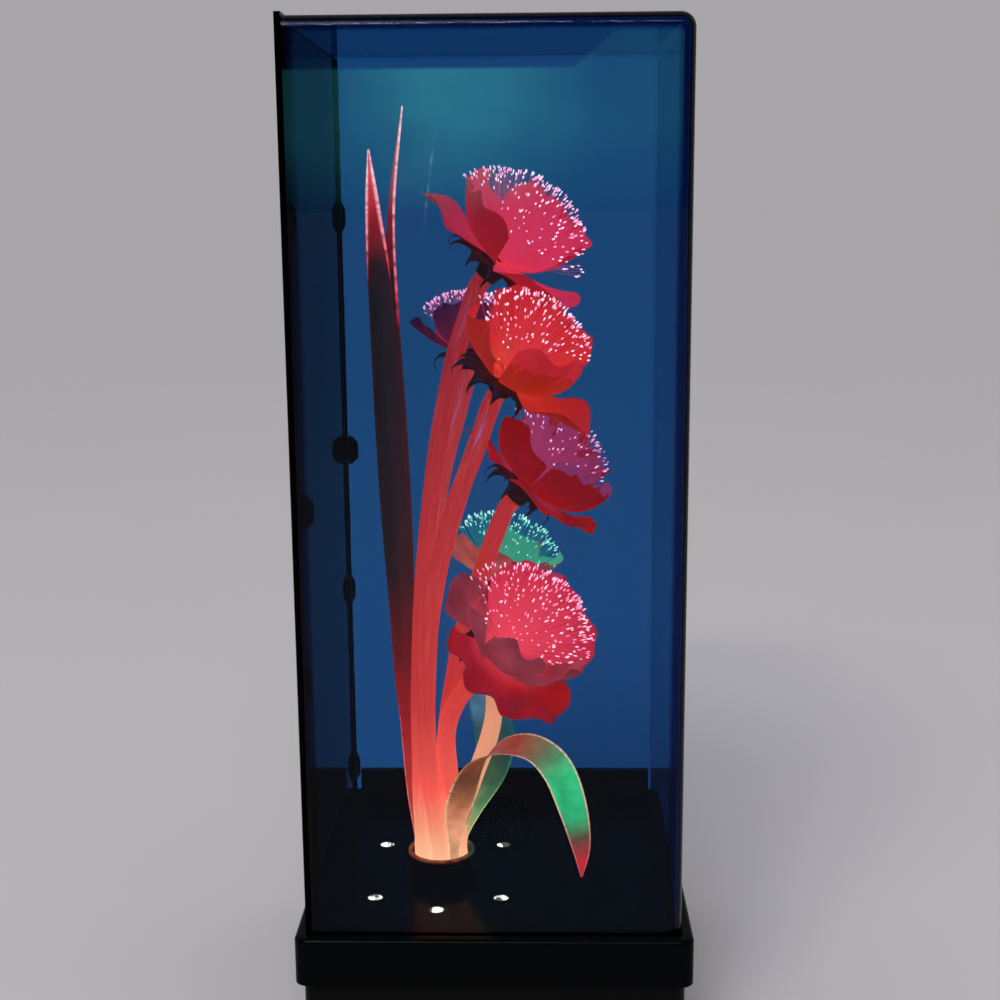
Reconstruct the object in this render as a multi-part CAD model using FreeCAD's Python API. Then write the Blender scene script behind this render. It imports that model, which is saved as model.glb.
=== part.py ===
"""Fibre optic flower lamp: a lit bouquet in a clear display case on a black base.

Millimetres, +Z up. The origin is on the floor under the middle of the base.
The front of the lamp faces -Y, and +X is on the right as seen from the front.
"""
import FreeCAD, Part
import math
import os

V = FreeCAD.Vector
UP = V(0, 0, 1)

# ---------------------------------------------------------------- driving dimensions
# Clear case
CASE_W = 190.0            # outer width and depth
CASE_T = 3.0              # acrylic thickness
CASE_EDGE_R = 7.0         # rounding of the moulded outer edges
CASE_INNER_R = 4.0        # rounding inside those edges
CASE_FIT = 0.4            # clearance of the walls in their groove
GROOVE_D = 3.0            # depth of that groove in the deck
LEFT_PANEL_RISE = 1.0     # how far the left panel stands above the case top
PANEL_GAP = 0.1           # joint between the left panel and the moulded shell
HEAD_ROOM = 32.0          # air over the tallest leaf

# Corner clips of the left panel
CLIP_T = 2.0
CLIP_H = 16.5             # height at the corner
CLIP_END_H = 9.0          # height at the free end of each leg
CLIP_SIDE_LEG = 8.0       # leg on the left panel
CLIP_SHORT_LEG = 3.7      # leg on the front or back wall
CLIP_LONG_LEG = 7.6       # the same leg on the middle clips
CLIP_AIR = 0.05           # adhesive film between a clip and a wall
CLIP_HEIGHTS = (18.0, 132.0, 218.0, 355.0)   # over the deck
LONG_CLIP_HEIGHT = 218.0

# Base
BASE_H = 75.0             # floor to deck
TRAY_LEDGE = 6.0          # how far the tray stands out past the case
TRAY_H = 25.0             # height of the tray's band
TRAY_WALL = 2.6
TRAY_CORNER_R = 7.0
TRAY_TOP_R = 2.5          # rounding of the tray's top edge
DECK_T = 5.0
BODY_INSET = 4.0          # lower body behind the tray's face
BODY_WALL = 3.0
BODY_CORNER_R = 6.0
PLATE_T = 2.5
SLOT_W = 3.0              # air slots under the lamp
SLOT_L = 26.0
SLOT_PITCH = 9.0
SLOT_COLUMNS = (-3, -2, -1, 0, 1, 2)
FOOT_H = 3.0
FOOT_R = 8.0
FOOT_STEM_R = 3.0
FOOT_INSET = 22.0         # foot centre to the lower body's face
FIT = 0.05                # radial clearance of pins and necks in their holes

# Posts and long screws
POST_R = 4.5
POST_CLEAR = 1.5          # post to the inside of the lower body
SCREW_R = 1.5
SCREW_HEAD_R = 2.8
SCREW_HEAD_H = 1.8
SCREW_BITE = 14.0         # thread length in the post

# Rail along the back of the deck
RAIL_H = 17.0
RAIL_T = 4.5
RAIL_CLEAR = 1.0          # rail to the case walls
RAIL_PEG_R = 2.0
RAIL_PEG_L = 3.0

# Collar and bundle
COLLAR_X = -30.7
COLLAR_Y = -18.4
COLLAR_R = 18.3
COLLAR_H = 13.0           # over the deck
COLLAR_WALL = 2.0
COLLAR_EDGE_R = 0.6
NECK_STEP = 1.3           # how much slimmer the collar's neck is below the deck
NECK_L = 13.0             # neck length below the deck's top
NUT_H = 4.0
NUT_RIM = 5.0
FERRULE_WALL = 0.8
FERRULE_DROP = 15.0       # below the deck's underside
BUNDLE_TOP = 6.0          # top of the packed fibres over the deck

# Vent holes
VENT_R = 4.0
VENT_RING_R = 47.5
VENT_ANGLES = (45.0, 90.0, 135.0, 225.0, 270.0, 315.0)

# Colour wheel and motor
WHEEL_R = 54.0
WHEEL_OFFSET = 38.0       # wheel axis to the right of the bundle's axis
FILTER_T = 1.2
FILTER_JOINT = 0.3        # gap between neighbouring filters
FILTERS = ("filter_red", "filter_amber", "filter_green", "filter_blue")
WHEEL_GAP = 3.3           # filters to the bundle's lower end
HUB_NECK_R = 5.0
HUB_FLANGE_R = 9.0
HUB_FLANGE_T = 1.5
HUB_FOOT_H = 3.0
HUB_FOOT_R = 6.0
HUB_AIR = 0.3             # hub to the motor's boss
SHAFT_R = 1.5
SHAFT_DEPTH = 9.0         # shaft inside the motor
MOTOR_R = 15.0
MOTOR_H = 20.0
MOTOR_BOSS_R = 5.0
MOTOR_BOSS_H = 1.2
MOTOR_EAR_T = 1.2
MOTOR_EAR_R = 3.6
MOTOR_EAR_REACH = 20.0    # motor axis to each ear's hole
MOTOR_SCREW_R = 1.2
MOTOR_SCREW_HEAD_R = 2.4
MOTOR_SCREW_HEAD_H = 1.4
BRACKET_T = 1.5
BRACKET_W = 26.0
BRACKET_FOOT = 9.0        # length of each bracket's foot

# Lamp
REFLECTOR_GAP = 6.0       # filters to the reflector's mouth
REFLECTOR_R = 17.5
REFLECTOR_H = 20.0
REFLECTOR_NECK_R = 7.0
REFLECTOR_T = 1.4
CAPSULE_R = 4.2
CAPSULE_H = 13.0
CAPSULE_PIN_R = 0.5
CAPSULE_PIN_L = 6.0
CAPSULE_PIN_PITCH = 4.0
HOLDER_R = 9.5
HOLDER_H = 10.0
LAMP_BRACKET_W = 22.0
LAMP_SHELF_MARGIN = 3.0   # bracket's shelf past the holder

# Transformer
CORE_SIDE_CLEAR = 6.0      # strap's foot to the right wall's inside
CORE_BACK_CLEAR = 24.0     # coil to the rear wall's inside, with room for the switch's lead
CORE_W = 50.0
CORE_H = 36.0
CORE_STACK = 20.0
CORE_LEG = 8.0            # outer legs and yokes
CORE_CENTRE_LEG = 16.0
COIL_OVERHANG = 8.0       # coil past the stack, front and back
COIL_AIR = 0.3
STRAP_T = 1.5
STRAP_FOOT = 9.0

# Rear switch
SWITCH_X = 60.0
SWITCH_Z = 30.0
SWITCH_W = 12.8
SWITCH_L = 19.0
SWITCH_DEPTH = 15.0
BEZEL_W = 15.0
BEZEL_L = 21.0
BEZEL_T = 1.5
ROCKER_W = 10.6
ROCKER_L = 14.0
ROCKER_AIR = 0.35
ROCKER_TILT = 12.0
ROCKER_PIN_R = 1.0
ROCKER_PIN_L = 0.45       # pin in each cheek of the housing
ROCKER_TILT_ROOM = 1.5    # cavity past each end of the rocker
ROCKER_DEPTH = 6.0        # cavity floor behind the pivot
PIVOT_DEPTH = 4.0         # pivot behind the lower body's face
ROCKER_PROUD = 1.4        # ends of the level rocker past the body's face
ROCKER_DIP = 1.6          # middle of the rocker's face below its ends
BLADE_L = 7.0
BLADE_W = 4.8
BLADE_T = 0.8
BLADE_PITCH = 7.0

# Cord inlet
INLET_X = -60.0
INLET_Z = 30.0
INLET_BORE_R = 3.4
INLET_NECK_R = 6.0
INLET_FLANGE_R = 8.0
INLET_FLANGE_T = 2.0

# Terminal block and inside leads
BLOCK_X = 0.0
BLOCK_W = 30.0
BLOCK_D = 12.0
BLOCK_H = 12.0
BLOCK_SCREW_R = 2.0
BLOCK_WAYS = 3
BLOCK_CLEAR = 8.0         # block to the inside of the rear wall
LEAD_R = 1.5

# Bouquet
STEM_R = 5.0
STEM_RING_R = 10.0        # five stems round one
CALYX_H = 11.0
CALYX_TOP_R = 9.5
CALYX_FOOT_R = 6.2
CALYX_DROP = 2.0          # calyx top below the point that the fibres fan out from
STEM_LEAD = 8.0           # straight end of each stem
SEPAL_T = 0.9
SEPAL_W = 8.0
SEPAL_REACH = 15.0
SPRAY_THROAT_R = 2.6
PETAL_T = 1.2
PETAL_SHARE = 1.04        # petal length over fibre length
PETAL_NOTCH = 0.47        # lobe radius over the flower's spread
PETAL_OPENING = 15.0      # petals open this many degrees wider than the fibres
PETAL_SAG = 8.0           # and bulge this many degrees further half way out
LEAF_T = 0.9
LEAF_ROOT_W = 7.0
LEAF_SEAT_R = 13.7        # leaf roots round the collar's axis
TALL_LEAF_TIP = 411.8     # over the deck
SECOND_LEAF_TIP = 390.1

# ---------------------------------------------------------------- levels and places
PLATE_TOP = FOOT_H + PLATE_T
DECK_UNDER = BASE_H - DECK_T
TRAY_LOW = BASE_H - TRAY_H
CASE_HALF = CASE_W / 2
CASE_INNER = CASE_HALF - CASE_T
TRAY_HALF = CASE_HALF + TRAY_LEDGE
BODY_HALF = TRAY_HALF - BODY_INSET
BODY_INNER = BODY_HALF - BODY_WALL
CASE_LOW = BASE_H - GROOVE_D
CASE_TOP = BASE_H + TALL_LEAF_TIP + HEAD_ROOM + CASE_T
POST_XY = BODY_INNER - POST_CLEAR - POST_R
FOOT_XY = BODY_HALF - FOOT_INSET
FERRULE_LOW = DECK_UNDER - FERRULE_DROP
FILTER_TOP = FERRULE_LOW - WHEEL_GAP
FILTER_LOW = FILTER_TOP - FILTER_T
WHEEL_X = COLLAR_X + WHEEL_OFFSET
WHEEL_Y = COLLAR_Y
HUB_LOW = FILTER_LOW - HUB_FLANGE_T - HUB_FOOT_H
HUB_TOP = FILTER_TOP + HUB_FLANGE_T
MOTOR_TOP = HUB_LOW - HUB_AIR - MOTOR_BOSS_H
MOTOR_LOW = MOTOR_TOP - MOTOR_H
REFLECTOR_TOP = FILTER_LOW - REFLECTOR_GAP
REFLECTOR_LOW = REFLECTOR_TOP - REFLECTOR_H
HOLDER_LOW = REFLECTOR_LOW - HOLDER_H
COLLAR_INNER_R = COLLAR_R - COLLAR_WALL
BUNDLE_R = STEM_RING_R + STEM_R
FERRULE_R = BUNDLE_R + FIT + FERRULE_WALL
NECK_R = COLLAR_R - NECK_STEP
CORE_LOW = PLATE_TOP + STRAP_T
CORE_X = BODY_INNER - CORE_SIDE_CLEAR - STRAP_FOOT - CORE_W / 2
CORE_Y = BODY_INNER - CORE_BACK_CLEAR - COIL_OVERHANG - CORE_STACK / 2
SIDES = (-1, 1)
CORNERS = [(sx, sy) for sx in SIDES for sy in SIDES]


def block(x0, x1, y0, y1, z0, z1):
    return Part.makeBox(x1 - x0, y1 - y0, z1 - z0, V(x0, y0, z0))


def rod(radius, x, y, z0, z1):
    return Part.makeCylinder(radius, z1 - z0, V(x, y, z0))


def tube(outer, inner, x, y, z0, z1):
    return rod(outer, x, y, z0, z1).cut(rod(inner, x, y, z0, z1))


def rod_along(radius, start, end):
    run = end - start
    return Part.makeCylinder(radius, run.Length, start, run)


def round_slab(half, corner_r, z0, z1):
    """A square slab with rounded vertical edges."""
    slab = block(-half, half, -half, half, z0, z1)
    return slab.makeFillet(corner_r, upright_edges(slab))


def upright_edges(shape):
    found = []
    for edge in shape.Edges:
        a, b = edge.Vertexes[0].Point, edge.Vertexes[-1].Point
        if abs(a.x - b.x) < 1e-6 and abs(a.y - b.y) < 1e-6:
            found.append(edge)
    return found


def edges_at(shape, test):
    return [edge for edge in shape.Edges if all(test(v.Point) for v in edge.Vertexes)]


def turned(points):
    """Solid of revolution about Z through points (radius, z) joined by straight lines."""
    corners = [V(r, 0, z) for r, z in points]
    face = Part.Face(Part.makePolygon(corners + corners[:1]))
    return face.revolve(V(0, 0, 0), UP, 360)


def smooth_line(points):
    curve = Part.BSplineCurve()
    curve.interpolate(points)
    return curve.toShape()


def bent_tube(points, radius):
    """A round tube along straight runs joined by tangent arcs."""
    edges = []
    last = points[0]
    for before, corner, after in zip(points, points[1:], points[2:]):
        into = (corner - before).normalize()
        out = (after - corner).normalize()
        turn = into.getAngle(out)
        short = min((corner - before).Length, (after - corner).Length)
        reach = 0.45 * short
        start = corner - into * reach
        end = corner + out * reach
        bisector = (out - into).normalize()
        bend_r = reach / math.tan(turn / 2)
        middle = corner + bisector * (bend_r / math.cos(turn / 2) - bend_r)
        edges.append(Part.LineSegment(last, start).toShape())
        edges.append(Part.Arc(start, middle, end).toShape())
        last = end
    edges.append(Part.LineSegment(last, points[-1]).toShape())
    path = Part.Wire(edges)
    first_run = points[1] - points[0]
    ring = Part.Wire(Part.makeCircle(radius, points[0], first_run))
    return path.makePipeShell([ring], True, False)


def aim(shape, place, axis, roll=0.0):
    """Turn a shape made about Z at the origin so that its Z follows axis, and put it at place."""
    turn = FreeCAD.Rotation(UP, axis).multiply(FreeCAD.Rotation(UP, roll))
    copy = shape.copy()
    copy.Placement = FreeCAD.Placement(place, turn)
    return copy


def over_deck(x, y, z):
    return V(x, y, BASE_H + z)


# ---------------------------------------------------------------- base
def make_deck_tray():
    tray = round_slab(TRAY_HALF, TRAY_CORNER_R, TRAY_LOW, BASE_H)
    top = edges_at(tray, lambda p: p.z > BASE_H - 1e-6)
    tray = tray.makeFillet(TRAY_TOP_R, top)
    inner = TRAY_HALF - TRAY_WALL
    tray = tray.cut(round_slab(inner, TRAY_CORNER_R - TRAY_WALL, TRAY_LOW, DECK_UNDER))
    outer_wall = CASE_HALF + CASE_FIT
    inner_wall = CASE_INNER - CASE_FIT
    groove = block(-outer_wall, outer_wall, -outer_wall, outer_wall, CASE_LOW, BASE_H)
    groove = groove.cut(round_slab(inner_wall, CASE_INNER_R + CASE_FIT, CASE_LOW, BASE_H))
    tray = tray.cut(groove)
    for sx, sy in CORNERS:
        tray = tray.fuse(rod(POST_R, sx * POST_XY, sy * POST_XY, PLATE_TOP, DECK_UNDER))
    for sx, sy in CORNERS:
        bore_top = PLATE_TOP + SCREW_BITE + 2
        tray = tray.cut(rod(SCREW_R + FIT, sx * POST_XY, sy * POST_XY, PLATE_TOP, bore_top))
    tray = tray.cut(rod(NECK_R + FIT, COLLAR_X, COLLAR_Y, DECK_UNDER, BASE_H))
    for angle in VENT_ANGLES:
        x = COLLAR_X + VENT_RING_R * math.cos(math.radians(angle))
        y = COLLAR_Y + VENT_RING_R * math.sin(math.radians(angle))
        tray = tray.cut(rod(VENT_R, x, y, DECK_UNDER, BASE_H))
    for x, y in rail_pegs():
        tray = tray.cut(rod(RAIL_PEG_R + FIT, x, y, BASE_H - RAIL_PEG_L, BASE_H))
    return tray.removeSplitter()


def rail_span():
    """The rail's left end clears the rear clips, and its right end clears the case wall."""
    left = -CASE_INNER + CLIP_SHORT_LEG + CLIP_AIR + RAIL_CLEAR
    right = CASE_INNER - RAIL_CLEAR
    back = CASE_INNER - CASE_FIT - RAIL_CLEAR
    return left, right, back - RAIL_T, back


def rail_pegs():
    left, right, front, back = rail_span()
    reach = (right - left) / 2 - 12
    middle = (left + right) / 2
    return [(middle + side * reach, (front + back) / 2) for side in (-1, 0, 1)]


def make_rear_rail():
    left, right, front, back = rail_span()
    rail = block(left, right, front, back, BASE_H, BASE_H + RAIL_H)
    for x, y in rail_pegs():
        rail = rail.fuse(rod(RAIL_PEG_R, x, y, BASE_H - RAIL_PEG_L, BASE_H))
    return rail.removeSplitter()


def make_base_housing():
    body = round_slab(BODY_HALF, BODY_CORNER_R, PLATE_TOP, DECK_UNDER)
    body = body.cut(round_slab(BODY_INNER, BODY_CORNER_R - BODY_WALL, PLATE_TOP, DECK_UNDER))
    cut_w = SWITCH_W / 2 + FIT
    cut_l = SWITCH_L / 2 + FIT
    body = body.cut(block(SWITCH_X - cut_w, SWITCH_X + cut_w, BODY_INNER - 1, BODY_HALF + 1,
                          SWITCH_Z - cut_l, SWITCH_Z + cut_l))
    body = body.cut(rod_along(INLET_NECK_R + FIT, V(INLET_X, BODY_INNER - 1, INLET_Z),
                              V(INLET_X, BODY_HALF + 1, INLET_Z)))
    return body


def make_bottom_plate():
    plate = round_slab(BODY_HALF, BODY_CORNER_R, FOOT_H, PLATE_TOP)
    for sx, sy in CORNERS:
        plate = plate.cut(rod(SCREW_R + FIT, sx * POST_XY, sy * POST_XY, FOOT_H, PLATE_TOP))
        plate = plate.cut(rod(FOOT_STEM_R + FIT, sx * FOOT_XY, sy * FOOT_XY, FOOT_H, PLATE_TOP))
    row_y = SLOT_L / 2 + lamp_reach() + BRACKET_FOOT + SLOT_W
    for row in SIDES:
        for column in SLOT_COLUMNS:
            x = COLLAR_X + column * SLOT_PITCH
            y = COLLAR_Y + row * row_y
            plate = plate.cut(block(x - SLOT_W / 2, x + SLOT_W / 2, y - SLOT_L / 2, y + SLOT_L / 2,
                                    FOOT_H, PLATE_TOP))
    return plate


def make_rubber_feet():
    feet = []
    for sx, sy in CORNERS:
        foot = rod(FOOT_R, sx * FOOT_XY, sy * FOOT_XY, 0, FOOT_H)
        feet.append(foot.fuse(rod(FOOT_STEM_R, sx * FOOT_XY, sy * FOOT_XY, FOOT_H, PLATE_TOP)))
    return Part.makeCompound(feet)


def make_base_screws():
    screws = []
    for sx, sy in CORNERS:
        x, y = sx * POST_XY, sy * POST_XY
        head = rod(SCREW_HEAD_R, x, y, FOOT_H - SCREW_HEAD_H, FOOT_H)
        screws.append(head.fuse(rod(SCREW_R, x, y, FOOT_H, PLATE_TOP + SCREW_BITE)))
    return Part.makeCompound(screws)


# ---------------------------------------------------------------- collar and bundle
def make_collar():
    collar = rod(COLLAR_R, COLLAR_X, COLLAR_Y, BASE_H, BASE_H + COLLAR_H)
    top = edges_at(collar, lambda p: p.z > BASE_H + COLLAR_H - 1e-6)
    collar = collar.makeFillet(COLLAR_EDGE_R, top[:1])
    collar = collar.fuse(rod(NECK_R, COLLAR_X, COLLAR_Y, BASE_H - NECK_L, BASE_H))
    return collar.cut(rod(COLLAR_INNER_R, COLLAR_X, COLLAR_Y, BASE_H - NECK_L, BASE_H + COLLAR_H))


def make_collar_nut():
    return tube(NECK_R + NUT_RIM, NECK_R + FIT, COLLAR_X, COLLAR_Y, DECK_UNDER - NUT_H, DECK_UNDER)


def make_bundle_ferrule():
    return tube(FERRULE_R, BUNDLE_R + FIT, COLLAR_X, COLLAR_Y, FERRULE_LOW, BASE_H + BUNDLE_TOP)


def make_fibre_bundle():
    return rod(BUNDLE_R, COLLAR_X, COLLAR_Y, FERRULE_LOW, BASE_H + BUNDLE_TOP)


# ---------------------------------------------------------------- lamp, motor and wheel
def bridge(x, y, reach, width, top):
    """A bent strip: a shelf at height top on two legs, at its front and back, with feet."""
    half = width / 2
    shelf = block(x - half, x + half, y - reach, y + reach, top - BRACKET_T, top)
    for side in SIDES:
        inner, outer = sorted((y + side * (reach - BRACKET_T), y + side * reach))
        near, far = sorted((y + side * (reach - BRACKET_T), y + side * (reach + BRACKET_FOOT)))
        shelf = shelf.fuse(block(x - half, x + half, inner, outer, PLATE_TOP, top))
        shelf = shelf.fuse(block(x - half, x + half, near, far, PLATE_TOP, PLATE_TOP + BRACKET_T))
    return shelf.removeSplitter()


def make_motor_bracket():
    reach = MOTOR_EAR_REACH + MOTOR_EAR_R
    bracket = bridge(WHEEL_X, WHEEL_Y, reach, BRACKET_W, MOTOR_LOW)
    for x, y in motor_ears():
        bracket = bracket.cut(rod(MOTOR_SCREW_R + FIT, x, y, MOTOR_LOW - BRACKET_T, MOTOR_LOW))
    return bracket


def motor_ears():
    return [(WHEEL_X, WHEEL_Y + side * MOTOR_EAR_REACH) for side in SIDES]


def make_motor_can():
    can = rod(MOTOR_R, WHEEL_X, WHEEL_Y, MOTOR_LOW, MOTOR_TOP)
    can = can.fuse(rod(MOTOR_BOSS_R, WHEEL_X, WHEEL_Y, MOTOR_TOP, MOTOR_TOP + MOTOR_BOSS_H))
    for x, y in motor_ears():
        ear = rod(MOTOR_EAR_R, x, y, MOTOR_LOW, MOTOR_LOW + MOTOR_EAR_T)
        web = block(x - MOTOR_EAR_R, x + MOTOR_EAR_R, min(y, WHEEL_Y), max(y, WHEEL_Y),
                    MOTOR_LOW, MOTOR_LOW + MOTOR_EAR_T)
        can = can.fuse(ear).fuse(web)
    for x, y in motor_ears():
        can = can.cut(rod(MOTOR_SCREW_R + FIT, x, y, MOTOR_LOW, MOTOR_LOW + MOTOR_EAR_T))
    bore_low = MOTOR_TOP + MOTOR_BOSS_H - SHAFT_DEPTH
    can = can.cut(rod(SHAFT_R + FIT, WHEEL_X, WHEEL_Y, bore_low, MOTOR_TOP + MOTOR_BOSS_H))
    return can.removeSplitter()


def make_motor_screws():
    screws = []
    ear_top = MOTOR_LOW + MOTOR_EAR_T
    for x, y in motor_ears():
        head = rod(MOTOR_SCREW_HEAD_R, x, y, ear_top, ear_top + MOTOR_SCREW_HEAD_H)
        screws.append(head.fuse(rod(MOTOR_SCREW_R, x, y, MOTOR_LOW - BRACKET_T, ear_top)))
    return Part.makeCompound(screws)


def make_wheel_shaft():
    low = MOTOR_TOP + MOTOR_BOSS_H - SHAFT_DEPTH + HUB_AIR
    return rod(SHAFT_R, WHEEL_X, WHEEL_Y, low, HUB_TOP)


def make_wheel_hub():
    hub = rod(HUB_FOOT_R, WHEEL_X, WHEEL_Y, HUB_LOW, FILTER_LOW - HUB_FLANGE_T)
    hub = hub.fuse(rod(HUB_FLANGE_R, WHEEL_X, WHEEL_Y, FILTER_LOW - HUB_FLANGE_T, FILTER_LOW))
    hub = hub.fuse(rod(HUB_NECK_R, WHEEL_X, WHEEL_Y, FILTER_LOW, FILTER_TOP))
    hub = hub.fuse(rod(HUB_FLANGE_R, WHEEL_X, WHEEL_Y, FILTER_TOP, HUB_TOP))
    return hub.cut(rod(SHAFT_R, WHEEL_X, WHEEL_Y, HUB_LOW, HUB_TOP)).removeSplitter()


def make_filter(index):
    """One quarter of the wheel, between the hub's flanges."""
    sector = tube(WHEEL_R, HUB_NECK_R, 0, 0, FILTER_LOW, FILTER_TOP)
    quarter = block(FILTER_JOINT / 2, WHEEL_R + 1, FILTER_JOINT / 2, WHEEL_R + 1,
                    FILTER_LOW, FILTER_TOP)
    sector = sector.common(quarter)
    sector.rotate(V(0, 0, 0), UP, 90.0 * index)
    sector.translate(V(WHEEL_X, WHEEL_Y, 0))
    return sector


def make_lamp_bracket():
    return bridge(COLLAR_X, COLLAR_Y, lamp_reach(), LAMP_BRACKET_W, HOLDER_LOW)


def lamp_reach():
    """Half length of the lamp bracket's shelf."""
    return HOLDER_R + LAMP_SHELF_MARGIN


def make_lamp_holder():
    holder = rod(HOLDER_R, COLLAR_X, COLLAR_Y, HOLDER_LOW, REFLECTOR_LOW)
    for side in SIDES:
        x = COLLAR_X + side * CAPSULE_PIN_PITCH / 2
        holder = holder.cut(rod(CAPSULE_PIN_R + FIT, x, COLLAR_Y,
                                REFLECTOR_LOW - CAPSULE_PIN_L, REFLECTOR_LOW))
    return holder


def make_lamp_reflector():
    outer = [(REFLECTOR_NECK_R, 0), (REFLECTOR_NECK_R, 5), (0.72 * REFLECTOR_R, 0.5 * REFLECTOR_H),
             (REFLECTOR_R, REFLECTOR_H)]
    inner = [(r - REFLECTOR_T, z) for r, z in reversed(outer)]
    dish = turned(outer + inner)
    dish.translate(V(COLLAR_X, COLLAR_Y, REFLECTOR_LOW))
    return dish


def make_halogen_capsule():
    capsule = rod(CAPSULE_R, COLLAR_X, COLLAR_Y, REFLECTOR_LOW, REFLECTOR_LOW + CAPSULE_H)
    top = edges_at(capsule, lambda p: p.z > REFLECTOR_LOW + CAPSULE_H - 1e-6)
    capsule = capsule.makeFillet(0.8 * CAPSULE_R, top[:1])
    for side in SIDES:
        x = COLLAR_X + side * CAPSULE_PIN_PITCH / 2
        capsule = capsule.fuse(rod(CAPSULE_PIN_R, x, COLLAR_Y,
                                   REFLECTOR_LOW - CAPSULE_PIN_L + FIT, REFLECTOR_LOW))
    return capsule


# ---------------------------------------------------------------- transformer and wiring
def core_window():
    """Half width of the centre leg and of the windows' outer sides, and the windows' heights."""
    near = CORE_CENTRE_LEG / 2
    far = CORE_W / 2 - CORE_LEG
    return near, far, CORE_LOW + CORE_LEG, CORE_LOW + CORE_H - CORE_LEG


def make_transformer_core():
    near, far, low, high = core_window()
    core = block(CORE_X - CORE_W / 2, CORE_X + CORE_W / 2, CORE_Y - CORE_STACK / 2,
                 CORE_Y + CORE_STACK / 2, CORE_LOW, CORE_LOW + CORE_H)
    for side in SIDES:
        x0, x1 = sorted((CORE_X + side * near, CORE_X + side * far))
        core = core.cut(block(x0, x1, CORE_Y - CORE_STACK, CORE_Y + CORE_STACK, low, high))
    return core


def make_transformer_coil():
    near, far, low, high = core_window()
    outer = far - COIL_AIR
    inner = near + COIL_AIR
    depth = CORE_STACK / 2 + COIL_OVERHANG
    coil = block(CORE_X - outer, CORE_X + outer, CORE_Y - depth, CORE_Y + depth,
                 low + COIL_AIR, high - COIL_AIR)
    coil = coil.makeFillet(3.0, upright_edges(coil))
    stack = CORE_STACK / 2 + COIL_AIR
    return coil.cut(block(CORE_X - inner, CORE_X + inner, CORE_Y - stack, CORE_Y + stack, low, high))


def make_transformer_bracket():
    """A strap under and round the core, with a screw foot at each side."""
    half = CORE_W / 2
    depth = CORE_STACK / 2
    strap = block(CORE_X - half - STRAP_FOOT, CORE_X + half + STRAP_FOOT, CORE_Y - depth,
                  CORE_Y + depth, PLATE_TOP, CORE_LOW)
    for side in SIDES:
        x0, x1 = sorted((CORE_X + side * half, CORE_X + side * (half + STRAP_T)))
        strap = strap.fuse(block(x0, x1, CORE_Y - depth, CORE_Y + depth, CORE_LOW,
                                 CORE_LOW + CORE_H))
        hole_x = CORE_X + side * (half + STRAP_FOOT / 2 + STRAP_T)
        strap = strap.cut(rod(SCREW_R, hole_x, CORE_Y, PLATE_TOP, CORE_LOW))
    return strap.removeSplitter()


def block_back():
    return BODY_INNER - BLOCK_CLEAR


def make_terminal_block():
    back = block_back()
    body = block(BLOCK_X - BLOCK_W / 2, BLOCK_X + BLOCK_W / 2, back - BLOCK_D, back,
                 PLATE_TOP, PLATE_TOP + BLOCK_H)
    pitch = BLOCK_W / BLOCK_WAYS
    for way in range(BLOCK_WAYS):
        x = BLOCK_X + (way - (BLOCK_WAYS - 1) / 2) * pitch
        for y in (back - 0.25 * BLOCK_D, back - 0.75 * BLOCK_D):
            body = body.cut(rod(BLOCK_SCREW_R, x, y, PLATE_TOP + BLOCK_H - 1.5, PLATE_TOP + BLOCK_H))
    return body


def make_switch_lead():
    start = V(BLOCK_X + BLOCK_W / 2, block_back() - BLOCK_D / 2, PLATE_TOP + BLOCK_H / 2)
    end = V(SWITCH_X, blade_back() + BLADE_L / 2, SWITCH_Z - BLADE_PITCH / 2 - BLADE_T / 2)
    return bent_tube([start, start + V(16, 0, 0), V(end.x, end.y, start.z + 2), end], LEAD_R)


def make_lamp_lead():
    """From the front of the coil round the back of the motor to the lamp holder."""
    start = V(CORE_X - CORE_CENTRE_LEG / 2, CORE_Y - CORE_STACK / 2 - COIL_OVERHANG, CORE_LOW + 9)
    end = V(COLLAR_X, COLLAR_Y + HOLDER_R, HOLDER_LOW + 5)
    return bent_tube([start, start + V(0, -9, 0), start + V(-34, -8, -7), end + V(10.7, 23.9, -6),
                      end + V(0, 13, 0), end], LEAD_R)


def make_motor_lead():
    """From the motor's side over the lamp lead and past the transformer to the terminal block."""
    start = V(WHEEL_X + MOTOR_R, WHEEL_Y, MOTOR_LOW + 11)
    end = V(BLOCK_X, block_back() - BLOCK_D, PLATE_TOP + BLOCK_H / 2)
    foot_x = CORE_X - CORE_W / 2 - STRAP_FOOT
    coil_y = CORE_Y - CORE_STACK / 2 - COIL_OVERHANG
    before_coil = V(foot_x + 8.3, coil_y - 6.4, start.z - 14)
    beside_foot = V(foot_x - 6, CORE_Y, end.z + 3)
    return bent_tube([start, start + V(10, 0, 0), start + V(13, 24, -10), before_coil,
                      beside_foot, end + V(0, -10, 0), end], LEAD_R)


# ---------------------------------------------------------------- switch and inlet
def blade_back():
    return BODY_HALF - SWITCH_DEPTH - BLADE_L


def pivot_y():
    return BODY_HALF - PIVOT_DEPTH


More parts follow.
